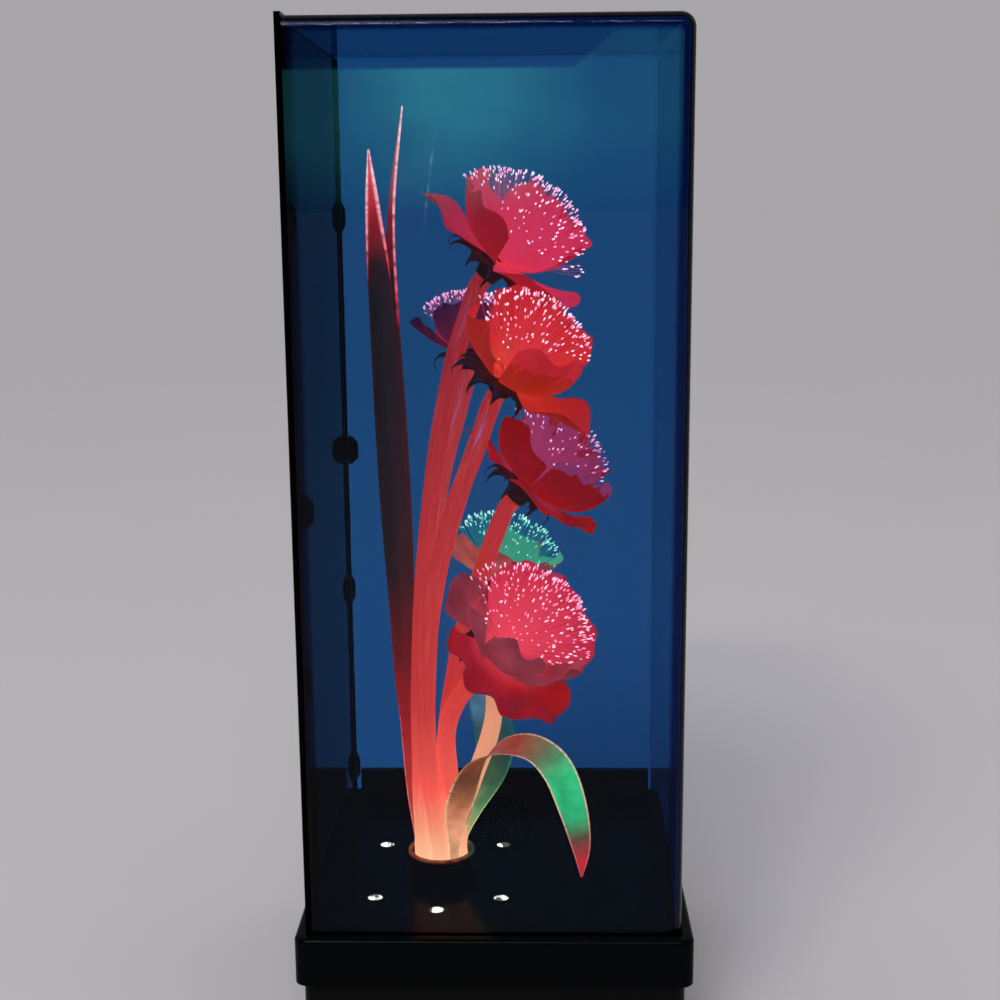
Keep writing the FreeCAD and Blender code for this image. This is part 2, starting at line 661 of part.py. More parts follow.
def make_switch_housing():
    x, z = SWITCH_X, SWITCH_Z
    back = BODY_HALF - SWITCH_DEPTH
    body = block(x - SWITCH_W / 2, x + SWITCH_W / 2, back, BODY_HALF,
                 z - SWITCH_L / 2, z + SWITCH_L / 2)
    body = body.fuse(block(x - BEZEL_W / 2, x + BEZEL_W / 2, BODY_HALF, BODY_HALF + BEZEL_T,
                           z - BEZEL_L / 2, z + BEZEL_L / 2))
    half_w = ROCKER_W / 2 + ROCKER_AIR
    half_l = ROCKER_L / 2 + ROCKER_TILT_ROOM
    body = body.cut(block(x - half_w, x + half_w, pivot_y() - ROCKER_DEPTH, BODY_HALF + BEZEL_T,
                          z - half_l, z + half_l))
    pin = half_w + ROCKER_PIN_L
    body = body.cut(rod_along(ROCKER_PIN_R + FIT, V(x - pin, pivot_y(), z), V(x + pin, pivot_y(), z)))
    for side in SIDES:
        blade_z = z + side * BLADE_PITCH / 2
        body = body.fuse(block(x - BLADE_W / 2, x + BLADE_W / 2, blade_back(), back,
                               blade_z - BLADE_T / 2, blade_z + BLADE_T / 2))
    return body.removeSplitter()


def make_switch_rocker():
    """A see-saw with a shallow V face, tilted to its on side."""
    half = ROCKER_L / 2
    face = PIVOT_DEPTH + ROCKER_PROUD
    heel = 2 * ROCKER_PIN_R
    outline = [(face, -half), (face - ROCKER_DIP, 0), (face, half), (0, half - 1),
               (-heel, heel), (-heel, -heel), (0, 1 - half)]
    corners = [V(-ROCKER_W / 2, y, z) for y, z in outline]
    rocker = Part.Face(Part.makePolygon(corners + corners[:1])).extrude(V(ROCKER_W, 0, 0))
    pin = ROCKER_W / 2 + ROCKER_AIR + ROCKER_PIN_L - FIT
    rocker = rocker.fuse(rod_along(ROCKER_PIN_R, V(-pin, 0, 0), V(pin, 0, 0)))
    rocker = rocker.removeSplitter()
    rocker.rotate(V(0, 0, 0), V(1, 0, 0), -ROCKER_TILT)
    rocker.translate(V(SWITCH_X, pivot_y(), SWITCH_Z))
    return rocker


def make_cord_bushing():
    def along_wall(radius, y0, y1):
        return rod_along(radius, V(INLET_X, y0, INLET_Z), V(INLET_X, y1, INLET_Z))
    inside = BODY_INNER - INLET_FLANGE_T
    outside = BODY_HALF + INLET_FLANGE_T
    bushing = along_wall(INLET_NECK_R, BODY_INNER, BODY_HALF)
    bushing = bushing.fuse(along_wall(INLET_FLANGE_R, BODY_HALF, outside))
    bushing = bushing.fuse(along_wall(INLET_FLANGE_R, inside, BODY_INNER))
    return bushing.cut(along_wall(INLET_BORE_R, inside, outside)).removeSplitter()


# ---------------------------------------------------------------- clear case
def make_case_shell():
    """Front, right, back and top in one moulding, open below and on the left."""
    left = -CASE_INNER + PANEL_GAP
    shell = block(left, CASE_HALF, -CASE_HALF, CASE_HALF, CASE_LOW, CASE_TOP)
    shell = shell.makeFillet(CASE_EDGE_R, moulded_edges(shell, CASE_HALF, CASE_TOP))
    hollow = block(left - CASE_W, CASE_INNER, -CASE_INNER, CASE_INNER,
                   CASE_LOW - CASE_W, CASE_TOP - CASE_T)
    hollow = hollow.makeFillet(CASE_INNER_R, moulded_edges(hollow, CASE_INNER, CASE_TOP - CASE_T))
    return shell.cut(hollow)


def moulded_edges(shape, right, top):
    """The upright edges on the right, and the top's front, back and right edges."""
    found = edges_at(shape, lambda p: abs(p.x - right) < 1e-6 and p.z > top - 1e-6)
    for side in SIDES:
        found += edges_at(shape, lambda p: abs(p.x - right) < 1e-6 and p.y * side > 0)
        found += edges_at(shape, lambda p: p.z > top - 1e-6 and p.y * side > 0)
    return found


def make_left_panel():
    return block(-CASE_HALF, -CASE_INNER, -CASE_HALF, CASE_HALF, CASE_LOW,
                 CASE_TOP + LEFT_PANEL_RISE)


def clip_leg(length):
    """A leg along +X from the corner line, chamfered above and below towards its free end."""
    half, end = CLIP_H / 2, CLIP_END_H / 2
    chamfer = min(0.45 * length, half - end)
    outline = [(0, -half), (length - chamfer, -half), (length, -end), (length, end),
               (length - chamfer, half), (0, half)]
    corners = [V(x, 0, z) for x, z in outline]
    return Part.Face(Part.makePolygon(corners + corners[:1])).extrude(V(0, CLIP_T, 0))


def make_panel_clips():
    """Angle clips in the two left corners; the back ones mirror the front ones."""
    clips = []
    for height in CLIP_HEIGHTS:
        wall_leg = clip_leg(CLIP_LONG_LEG if height == LONG_CLIP_HEIGHT else CLIP_SHORT_LEG)
        panel_leg = clip_leg(CLIP_SIDE_LEG)
        panel_leg.rotate(V(0, 0, 0), UP, 90)
        panel_leg.translate(V(CLIP_T, 0, 0))
        front = wall_leg.fuse(panel_leg).removeSplitter()
        front.translate(V(-CASE_INNER + CLIP_AIR, -CASE_INNER + CLIP_AIR, BASE_H + height))
        clips.append(front)
        clips.append(front.mirror(V(0, 0, 0), V(0, 1, 0)))
    return Part.makeCompound(clips)


# ---------------------------------------------------------------- bouquet
# Each flower: name, point its fibres fan out from (over the deck), facing, fibre length, half
# angle of the fan, roll of the petals, stem's seat in the collar (degrees, None in the middle)
# and the stem's route (over the deck) between its seat and the calyx.
FLOWERS = (
    ("top", (3.2, 15.5, 333.6), (0.633, -0.15, 0.757), 49.0, 62.0, 10.0, 198.0,
     ((-41.5, -19.0, 60.0), (-41.0, -15.0, 130.0), (-35.5, -8.0, 200.0), (-24.5, 3.0, 272.0))),
    ("upper", (9.4, -24.0, 277.2), (0.50, -0.34, 0.80), 44.5, 62.0, 40.0, 270.0,
     ((-36.5, -32.0, 60.0), (-37.0, -35.0, 115.0), (-32.0, -37.0, 165.0), (-20.0, -37.0, 210.0),
      (-8.0, -31.0, 240.0))),
    ("upper_back", (-16.9, 46.5, 282.8), (0.0, 0.30, 0.95), 34.0, 48.0, 0.0, 126.0,
     ((-40.0, -5.0, 80.0), (-39.0, 5.0, 150.0), (-31.0, 19.0, 215.0))),
    ("middle", (18.8, 8.0, 213.6), (0.68, -0.05, 0.73), 44.5, 60.0, 25.0, None,
     ((-30.0, -18.0, 50.0), (-25.5, -15.5, 95.0), (-17.0, -11.0, 140.0))),
    ("rear", (-0.7, 40.5, 150.4), (0.40, 0.20, 0.89), 41.0, 60.0, 60.0, 54.0,
     ((-13.5, 2.5, 45.0), (0.0, 14.0, 78.0), (-5.0, 31.0, 112.0))),
    ("lower", (6.7, -42.0, 136.5), (0.54, -0.54, 0.645), 46.0, 60.0, 5.0, 342.0,
     ((-22.3, -25.2, 40.0), (-26.5, -28.5, 66.0), (-26.5, -29.0, 95.0))),
)


def seat(angle, radius):
    turn = math.radians(angle)
    return over_deck(COLLAR_X + radius * math.cos(turn), COLLAR_Y + radius * math.sin(turn),
                     BUNDLE_TOP)


def make_stem(point, facing, angle, route):
    root = over_deck(COLLAR_X, COLLAR_Y, BUNDLE_TOP) if angle is None else seat(angle, STEM_RING_R)
    axis = V(*facing).normalize()
    top = over_deck(*point) - axis * (CALYX_DROP + CALYX_H)
    points = [root, root + V(0, 0, COLLAR_H)]
    points += [over_deck(*p) for p in route]
    points += [top - axis * STEM_LEAD, top]
    return bent_tube(points, STEM_R)


def make_calyx(point, facing, roll):
    low = -CALYX_DROP - CALYX_H
    cup = turned([(0, low), (CALYX_FOOT_R, low), (CALYX_TOP_R, -CALYX_DROP), (0, -CALYX_DROP)])
    inside = 0.5 * (CALYX_FOOT_R + CALYX_TOP_R) - SEPAL_T
    level = -CALYX_DROP - 0.3 * CALYX_H
    sepal_line = [V(inside, 0, level), V(0.7 * SEPAL_REACH, 0, level - 0.6),
                  V(0.93 * SEPAL_REACH, 0, level - 3.5), V(SEPAL_REACH, 0, level - 8.5)]
    widths = (SEPAL_W, SEPAL_W, 0.6 * SEPAL_W, 0.16 * SEPAL_W)
    sepal = blade(sepal_line, [V(0, 1, 0)] * 4, widths, SEPAL_T)
    for turn in range(5):
        copy = sepal.copy()
        copy.rotate(V(0, 0, 0), UP, 72.0 * turn + 36.0)
        cup = cup.fuse(copy)
    return aim(cup, over_deck(*point), V(*facing), roll)


def make_spray(point, facing, length, half_angle):
    """The fan's envelope: a narrow throat that opens into a cone with a domed top."""
    angle = math.radians(half_angle)
    throat = SPRAY_THROAT_R
    corners = [V(0, 0, -CALYX_DROP), V(throat, 0, -CALYX_DROP), V(throat, 0, throat / math.tan(angle)),
               V(length * math.sin(angle), 0, length * math.cos(angle))]
    middle = V(length * math.sin(angle / 2), 0, length * math.cos(angle / 2))
    crown = V(0, 0, length)
    edges = [Part.LineSegment(a, b).toShape() for a, b in zip(corners, corners[1:])]
    edges.append(Part.Arc(corners[-1], middle, crown).toShape())
    edges.append(Part.LineSegment(crown, corners[0]).toShape())
    fan = Part.Face(Part.Wire(edges)).revolve(V(0, 0, 0), UP, 360)
    return aim(fan, over_deck(*point), V(*facing))


def make_petals(point, facing, length, half_angle, roll):
    """A shallow bowl under the fan, cut into five round lobes."""
    tip_angle = math.radians(half_angle + PETAL_OPENING)
    sag_angle = tip_angle + math.radians(PETAL_SAG)
    reach = PETAL_SHARE * length
    under = [V(CALYX_TOP_R - 1.0, 0, -CALYX_DROP),
             V(0.55 * reach * math.sin(sag_angle), 0, 0.55 * reach * math.cos(sag_angle)),
             V(reach * math.sin(tip_angle), 0, reach * math.cos(tip_angle))]
    over = [p + V(-math.cos(tip_angle), 0, math.sin(tip_angle)) * PETAL_T for p in under]
    hole = SPRAY_THROAT_R + CALYX_DROP / 4
    centre_low = V(hole, 0, -CALYX_DROP)
    centre_high = V(hole, 0, over[0].z)
    edges = [Part.LineSegment(centre_low, under[0]).toShape(), smooth_line(under),
             Part.LineSegment(under[-1], over[-1]).toShape(), smooth_line(over[::-1]),
             Part.LineSegment(over[0], centre_high).toShape(),
             Part.LineSegment(centre_high, centre_low).toShape()]
    bowl = Part.Face(Part.Wire(edges)).revolve(V(0, 0, 0), UP, 360)
    spread = reach * math.sin(tip_angle)
    lobe_r = PETAL_NOTCH * spread
    lobes = rod(spread - lobe_r, 0, 0, -CALYX_DROP - 1, length)
    for turn in range(5):
        angle = math.radians(72.0 * turn)
        x = (spread - lobe_r) * math.cos(angle)
        y = (spread - lobe_r) * math.sin(angle)
        lobes = lobes.fuse(rod(lobe_r, x, y, -CALYX_DROP - 1, length))
    return aim(bowl.common(lobes), over_deck(*point), V(*facing), roll)


# ---------------------------------------------------------------- leaves
def blade(line, across, widths, thickness):
    """A thin strip along a line of points, with a width and a width direction at each."""
    sections = []
    for i, (point, side, width) in enumerate(zip(line, across, widths)):
        run = (line[min(i + 1, len(line) - 1)] - line[max(i - 1, 0)]).normalize()
        wide = (side - run * side.dot(run)).normalize()
        face = run.cross(wide).normalize()
        corners = [point + wide * (a * width / 2) + face * (b * thickness / 2)
                   for a, b in ((-1, -1), (1, -1), (1, 1), (-1, 1))]
        sections.append(Part.makePolygon(corners + corners[:1]))
    return Part.makeLoft(sections, True, False)


# Each leaf: name, seat angle in the collar, height that its route's heights are shares of (or
# 1 for plain heights), and its route: x, y, height over the deck, width and width direction.
LEAVES = (
    ("tall_leaf_left", 162.0, SECOND_LEAF_TIP,
     ((-47.0, -11.5, 0.15, 8.0, (1, 0.2, 0)), (-50.0, -9.0, 0.30, 10.5, (1, 0.1, 0)),
      (-54.5, -6.5, 0.54, 15.0, (1, 0, 0)), (-59.0, -5.5, 0.80, 13.0, (1, -0.1, 0)),
      (-62.0, -5.0, 0.92, 8.0, (1, -0.1, 0)), (-63.5, -5.0, 1.0, 1.0, (1, -0.1, 0)))),
    ("tall_leaf_right", 90.0, TALL_LEAF_TIP,
     ((-43.0, 2.0, 0.12, 11.0, (1, 0.4, 0)), (-50.5, 5.0, 0.26, 13.0, (1, 0.1, 0)),
      (-53.5, 6.0, 0.50, 15.0, (1, 0, 0)), (-56.0, 4.5, 0.74, 12.0, (1, 0.1, 0)),
      (-53.5, 2.5, 0.87, 8.0, (1, 0.2, 0)), (-46.0, 0.0, 1.0, 1.0, (1, 0.2, 0)))),
    ("arching_leaf", 306.0, 1.0,
     ((-18.6, -35.4, 46.0, 19.0, (0.8, 0.6, 0)), (-10.0, -38.5, 69.0, 18.0, (0.7, 0.7, 0.1)),
      (4.0, -44.0, 81.0, 17.0, (0.5, 0.8, 0.3)), (20.0, -50.0, 82.5, 18.0, (0.4, 0.85, 0.45)),
      (32.5, -54.0, 72.5, 18.0, (0.7, 0.55, 0.5)), (40.5, -57.0, 53.0, 15.5, (0.95, 0.3, 0.3)),
      (45.0, -58.0, 32.0, 10.0, (1, 0.2, 0.1)), (45.5, -58.0, 14.8, 1.0, (1, 0.2, 0)))),
    ("back_leaf", 18.0, 1.0,
     ((-11.5, -12.0, 33.0, 9.5, (0.5, -0.85, 0)), (-2.5, 6.0, 46.0, 14.5, (0.85, -0.5, 0)),
      (-1.5, 17.0, 59.0, 22.0, (1, -0.2, 0)), (-4.0, 26.0, 72.0, 22.0, (1, 0, 0)),
      (-10.5, 31.0, 83.0, 15.0, (1, 0, 0)), (-18.0, 34.5, 90.5, 1.0, (1, 0, 0)))),
)


def make_leaf(angle, height, route):
    root = seat(angle, LEAF_SEAT_R)
    turn = math.radians(angle)
    tangent = V(-math.sin(turn), math.cos(turn), 0)
    if tangent.dot(V(*route[0][4])) < 0:
        tangent = tangent * -1
    line = [root, root + V(0, 0, COLLAR_H)]
    across = [tangent, tangent]
    widths = [LEAF_ROOT_W, LEAF_ROOT_W]
    for x, y, z, width, side in route:
        line.append(over_deck(x, y, z * height))
        across.append(V(*side))
        widths.append(width)
    return blade(line, across, widths, LEAF_T)


# ---------------------------------------------------------------- export
def save(name, shape):
    shape.exportStep("parts/%s.step" % name)


MAKERS = {
    "base_housing": make_base_housing, "deck_tray": make_deck_tray, "rear_rail": make_rear_rail,
    "bottom_plate": make_bottom_plate, "rubber_feet": make_rubber_feet,
    "base_screws": make_base_screws, "collar": make_collar, "collar_nut": make_collar_nut,
    "bundle_ferrule": make_bundle_ferrule, "fibre_bundle": make_fibre_bundle,
    "lamp_bracket": make_lamp_bracket, "lamp_holder": make_lamp_holder,
    "lamp_reflector": make_lamp_reflector, "halogen_capsule": make_halogen_capsule,
    "motor_can": make_motor_can, "motor_bracket": make_motor_bracket,
    "motor_screws": make_motor_screws, "wheel_shaft": make_wheel_shaft,
    "wheel_hub": make_wheel_hub, "transformer_core": make_transformer_core,
    "transformer_coil": make_transformer_coil, "transformer_bracket": make_transformer_bracket,
    "terminal_block": make_terminal_block, "switch_lead": make_switch_lead,
    "lamp_lead": make_lamp_lead, "motor_lead": make_motor_lead,
    "switch_housing": make_switch_housing, "switch_rocker": make_switch_rocker,
    "cord_bushing": make_cord_bushing, "case_shell": make_case_shell,
    "left_panel": make_left_panel, "panel_clips": make_panel_clips,
}


def main():
    os.makedirs("parts", exist_ok=True)
    for name, make in MAKERS.items():
        save(name, make())
    for index, name in enumerate(FILTERS):
        save(name, make_filter(index))
    calyces = []
    for name, point, facing, length, half_angle, roll, angle, route in FLOWERS:
        save("stem_" + name, make_stem(point, facing, angle, route))
        save("spray_" + name, make_spray(point, facing, length, half_angle))
        save("petals_" + name, make_petals(point, facing, length, half_angle, roll))
        calyces.append(make_calyx(point, facing, roll))
    save("calyces", Part.makeCompound(calyces))
    for name, angle, height, route in LEAVES:
        save(name, make_leaf(angle, height, route))


main()
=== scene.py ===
"""Looks of the fibre optic flower lamp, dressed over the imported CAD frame. Metres, +Z up."""
import bpy
from math import acos, cos, degrees, log, pi, radians, sin, sqrt
from random import Random
from mathutils import Matrix, Vector


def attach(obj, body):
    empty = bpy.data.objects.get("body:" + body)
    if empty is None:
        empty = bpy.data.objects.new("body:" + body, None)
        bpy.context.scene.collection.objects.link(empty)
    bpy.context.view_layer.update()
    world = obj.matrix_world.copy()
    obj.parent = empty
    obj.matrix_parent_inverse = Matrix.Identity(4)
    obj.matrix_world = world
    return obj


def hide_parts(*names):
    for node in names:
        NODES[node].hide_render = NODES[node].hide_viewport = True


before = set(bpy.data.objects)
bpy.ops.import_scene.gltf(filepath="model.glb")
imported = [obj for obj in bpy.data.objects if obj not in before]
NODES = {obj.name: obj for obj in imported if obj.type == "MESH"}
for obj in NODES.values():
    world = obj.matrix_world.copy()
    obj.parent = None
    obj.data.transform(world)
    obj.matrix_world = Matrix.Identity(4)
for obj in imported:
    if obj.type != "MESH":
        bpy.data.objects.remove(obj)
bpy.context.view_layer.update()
MM = 0.001
UP = Vector((0, 0, 1))

# ---- places, in millimetres
DECK = 75
COLLAR_AXIS = (-30.7, -18.4)
COLLAR_RIM = 13  # collar top over the deck
BUNDLE_TOP = 6
STEM_RING_R = 10
STEM_R = 5
STEM_LEAD = 8  # straight run of a stem under its cup
LEAF_SEAT_R = 13.7
LEAF_ROOT_W = 7
LEAF_T = 0.8
LEAF_MIN_W = 0.6
CALYX_FOOT = 13  # how far under the flower's point its cup begins
CALYX_TOP_R = 9.5
CALYX_FOOT_R = 6.2
CUP_SIDES = 60
VENT_R = 4
VENT_RING_R = 47.5
PETAL_T = 0.3
PETAL_FOOT_R = 3  # where a petal starts, from the point its fibres fan out from
PETAL_LIFT = 0.35  # every second petal stands this far over its neighbours
PETAL_STEPS = (24, 18)  # across and along
NUDGE = 0.01  # step for the slope of a petal, as a share of its size
FIBRE_R = 0.09
TIP_R = 0.44
LINE_STEPS = 14  # along a leaf, between two stations
FILM_T = 0.03
FILM_STEPS = 60

# Each flower: point its fibres fan out from (z over the deck), facing, fibre length, half angle
# of the fan, seat of its stem in the collar and the stem's route up to the cup.
FLOWERS = {
    "top": ((3.2, 15.5, 333.6), (0.633, -0.15, 0.757), 49, 62, 198, ((-41.5, -19, 60),
        (-41, -15, 130), (-35.5, -8, 200), (-24.5, 3, 272))),
    "upper": ((9.4, -24, 277.2), (0.5, -0.34, 0.8), 44.5, 62, 270, ((-36.5, -32, 60),
        (-37, -35, 115), (-32, -37, 165), (-20, -37, 210), (-8, -31, 240))),
    "upper_back": ((-16.9, 46.5, 282.8), (0, 0.3, 0.95), 34, 48, 126,
        ((-40, -5, 80), (-39, 5, 150), (-31, 19, 215))),
    "middle": ((18.8, 8, 213.6), (0.68, -0.05, 0.73), 44.5, 60, None, ((-30, -18, 50),
        (-25.5, -15.5, 95), (-17, -11, 140))),
    "rear": ((-0.7, 40.5, 150.4), (0.4, 0.2, 0.89), 41, 60, 54,
        ((-13.5, 2.5, 45), (0, 14, 78), (-5, 31, 112))),
    "lower": ((6.7, -42, 136.5), (0.54, -0.54, 0.645), 46, 60, 342, ((-22.3, -25.2, 40),
        (-26.5, -28.5, 66), (-26.5, -29, 95))),
}

# Petals of each flower: direction round the axis, half width, opening half way and at the rim
# (degrees), reach over fibre length, how pointed (0 round, 1 pointed), how brightly lit, and the
# share of the flower's second colour towards the rim, or of deep red where it is below zero. A
# row may stop early, where the rest is as usual.
PETAL_REST = (1, 0, 1, 0)
PETALS = {
    "top": ((172, 40, 88, 87, 1.12, 0.55, 0.6), (150, 30, 80, 57, 1, 0.1, 0.85),
        (228, 34, 80, 58, 0.92, 0, 0.85), (342, 46, 90, 79, 1, 0.2), (24, 42, 60, 40),
        (86, 44, 54, 37), (308, 38, 93, 81, 0.96, 0.1, 0.9)),
    "upper": ((204, 40, 82, 54, 0.98, 0, 0.95), (302, 46, 96, 43, 0.97),
        (332, 34, 98, 82, 1.2, 0.75, 0.75), (24, 40, 60, 41), (84, 44, 54, 37),
        (130, 36, 58, 42, 1, 0.1, 0.9), (221, 13, 42, 34, 0.6, 0, 1, 1)),
    "upper_back": ((182, 34, 74, 62, 1.02, 0.4, 0.8), (250, 40, 66, 46, 0.9),
        (326, 38, 66, 46, 0.94), (38, 38, 68, 46, 0.96), (110, 38, 68, 46, 0.96, 0.1)),
    "middle": ((226, 38, 88, 57), (186, 22, 90, 88, 1.03, 0.8, 1, -1), (312, 44, 92, 50, 1.06),
        (334, 32, 94, 80, 1.03, 0.2, 0.85, -1), (24, 40, 60, 40, 1, 0, 0.8), (84, 44, 54, 36),
        (140, 38, 58, 40, 1, 0.1), (280, 34, 96, 86, 0.88, 0, 0.85, -1)),
    "rear": ((180, 50, 84, 78, 1.14, 0, 1, 1), (242, 42, 84, 68, 1.04, 0, 1, 1),
        (306, 38, 82, 64, 0.98, 0.1), (10, 38, 64, 46), (84, 44, 58, 40)),
    "lower": ((160, 26, 84, 79, 0.99, 0.1, 0.9, 1), (206, 31, 84, 52, 0.92, 0, 1, 1),
        (262, 34, 78, 40, 0.98, 0, 1, 1), (316, 36, 78, 46, 1.03, 0, 1, 1),
        (226, 26, 90, 78, 0.96, 0.1, 1, -1), (268, 33, 92, 84, 0.95, 0, 1, -1),
        (316, 38, 92, 87, 1.02, 0.12, 1, -1), (20, 42, 76, 54, 1.02, 0, 0.9), (68, 36, 74, 50),
        (110, 34, 74, 50, 0.98)),
}

# Sepals under each flower: direction and reach over the usual one
SEPALS = {
    "top": ((172, 1.3), (196, 1.25), (232, 1.05), (268, 0.95), (310, 1), (20, 0.9), (98, 0.9)),
    "upper": ((168, 1.2), (196, 1.3), (226, 1.15), (262, 1), (300, 1), (20, 0.9), (96, 0.9)),
    "upper_back": ((180, 0.8), (240, 0.8), (310, 0.8), (30, 0.8), (110, 0.8)),
    "middle": ((184, 1.05), (212, 1.1), (250, 0.95), (296, 1.05), (345, 1), (50, 0.9), (120, 0.9)),
    "rear": ((180, 0.9), (240, 0.9), (300, 0.9), (10, 0.9), (90, 0.9)),
    "lower": ((188, 1.1), (222, 1.15), (262, 1.1), (318, 1), (30, 0.9), (110, 0.9)),
}

# Leaves: seat angle in the collar, height that the route's heights are shares of, depth of the
# fold, and the route: x, y, height over the deck, width and width direction.
LEAVES = {
    "tall_leaf_left": (162, 390.1, 0.22, ((-47, -11.5, 0.15, 8, (1, 0.2, 0)),
        (-50, -9, 0.3, 10.5, (1, 0.1, 0)), (-54.5, -6.5, 0.54, 15, (1, 0, 0)),
        (-59, -5.5, 0.8, 13, (1, -0.1, 0)), (-62, -5, 0.92, 8, (1, -0.1, 0)),
        (-63.5, -5, 1, 1, (1, -0.1, 0)))),
    "tall_leaf_right": (90, 411.8, 0.22, ((-43, 2, 0.12, 11, (1, 0.4, 0)),
        (-50.5, 5, 0.26, 13, (1, 0.1, 0)), (-53.5, 6, 0.5, 15, (1, 0, 0)),
        (-56, 4.5, 0.74, 12, (0.9, -0.5, 0)), (-53.5, 2.5, 0.87, 8, (0.45, -0.9, 0)),
        (-46, 0, 1, 1, (0.4, -0.9, 0)))),
    "arching_leaf": (306, 1, 0.12, ((-18.6, -35.4, 46, 19, (0.8, 0.6, 0)),
        (-10, -38.5, 69, 18, (0.7, 0.7, 0.1)), (4, -44, 81, 17, (0.5, 0.8, 0.3)),
        (20, -50, 82.5, 18, (0.4, 0.85, 0.45)), (32.5, -54, 72.5, 18, (0.7, 0.55, 0.5)),
        (40.5, -57, 53, 15.5, (0.95, 0.3, 0.3)), (45, -58, 32, 10, (1, 0.2, 0.1)),
        (45.5, -58, 14.8, 1, (1, 0.2, 0)))),
    "back_leaf": (18, 1, 0.12, ((-11.5, -12, 33, 9.5, (0.5, -0.85, 0)),
        (-2.5, 6, 46, 14.5, (0.85, -0.5, 0)), (-1.5, 17, 59, 22, (1, -0.2, 0)),
        (-4, 26, 72, 22, (1, 0, 0)), (-10.5, 31, 83, 15, (1, 0, 0)),
        (-18, 34.5, 90.5, 1, (1, 0, 0)))),
}

# Radius and height of a cup's rings, seen from the point its fibres fan out from
CUP_PROFILE = ((STEM_R + 0.1, -CALYX_FOOT), (CALYX_FOOT_R, -CALYX_FOOT),
               (CALYX_FOOT_R + 0.3, -11.5), (6.9, -9), (8.2, -5.5), (CALYX_TOP_R, -2.6),
               (CALYX_TOP_R - 0.3, -2), (7.5, -2.4), (4, -3.4), (0.4, -3.6))
# A sepal's section, as shares of its half width and of its thickness
SEPAL_RING = ((-1, 0), (-0.5, 0.5), (0, 0.8), (0.5, 0.5), (1, 0), (0.5, -0.5), (0, -0.7),
              (-0.5, -0.5))

# ---- light and colour
# Share of red, green and blue that a wall of the case, and its left panel, lets through
PANE = (0.15, 0.385, 0.645)
LEFT_PANE = (0.08, 0.075, 0.108)
PANE_T = 3
GLASS_IOR = 1.2  # low, so that the walls mirror little of a pale studio
LEFT_IOR = 1.08  # the left panel is seen at a slant, where it mirrors the back wall
CLEAR = (0.96, 0.98, 1)
PAINTED_EDGE_SHADE = (0.1, 0.16, 0.34)  # painted shade: the moulded edges are tinted much darker than the walls
FRONT, TOP = -95, 521.8  # outer faces
FRONT_EDGE = (FRONT + 8.5, FRONT + 6.5)  # the front wall's rounding begins here in y,
SIDE_EDGE = (86.5, 88.5)  # in x to either side
TOP_EDGE = (TOP - 8, TOP - 6.2)  # and in z
PAINTED_GLOW_SHARE = 0.15  # share of the painted teal glow on the front wall
PAINTED_GLOW = (0.1, 0.8, 0.74)
PAINTED_GLOW_FOOT = (432, 472)  # heights over which it sets in
PAINTED_GLOW_STEP = (40, 58)  # places in x where its upper rim climbs
PAINTED_GLOW_RIM = (497.3 * MM, 513 * MM)
PAINTED_GLOW_MIDDLE = 11  # it is thickest this far to the left
PAINTED_GLOW_REACH = (62, 18)
SCRATCH = ((421.3, 470.4), (-30 * MM, -23.2 * MM))  # its ends, in z and x
SCUFF = (0.7, 0.75, 0.8)
DUST = (0.35, 0.34, 0.32)
VENT_LIGHT = (252, 248, 232)
DARK_CAST = (140, 22, 24)  # clouds in the sleeves
DEEP_RED = (158, 15, 18)
BLACK = (0, 0, 0, 1)
GLOW = 3.2  # emission strength of the lit pieces
LAMP_GLOW = 6
FLOOR = (0.47, 0.455, 0.475)
FAR_FLOOR = (0.392, 0.378, 0.395, 1)  # the lit floor's shade, so that no horizon shows
FLOOR_REACH = 60
AMBIENT = (0.62, 0.62, 0.62, 1)  # even light from all round
DIM_ROOM = (0.05, 0.05, 0.05, 1)  # what gloss mirrors of the camera's side
SUN = 0.9
SOFTBOX = 16
# Lamps that give the edges their highlights: name, watts, width, height and place in x
STRIPS = (("strip", SOFTBOX, 1.3, 0.07, -0.25), ("spot", 0.12 * SOFTBOX, 0.07, 0.07, -0.43))
STRIP_PLACE = (-1.5, 1.9)  # y and z of both
EYE = (0.022, -0.794, 0.439)
GAZE = (-0.0244, 1, -0.2)
ROLL = 0.45  # degrees
LENS = 54

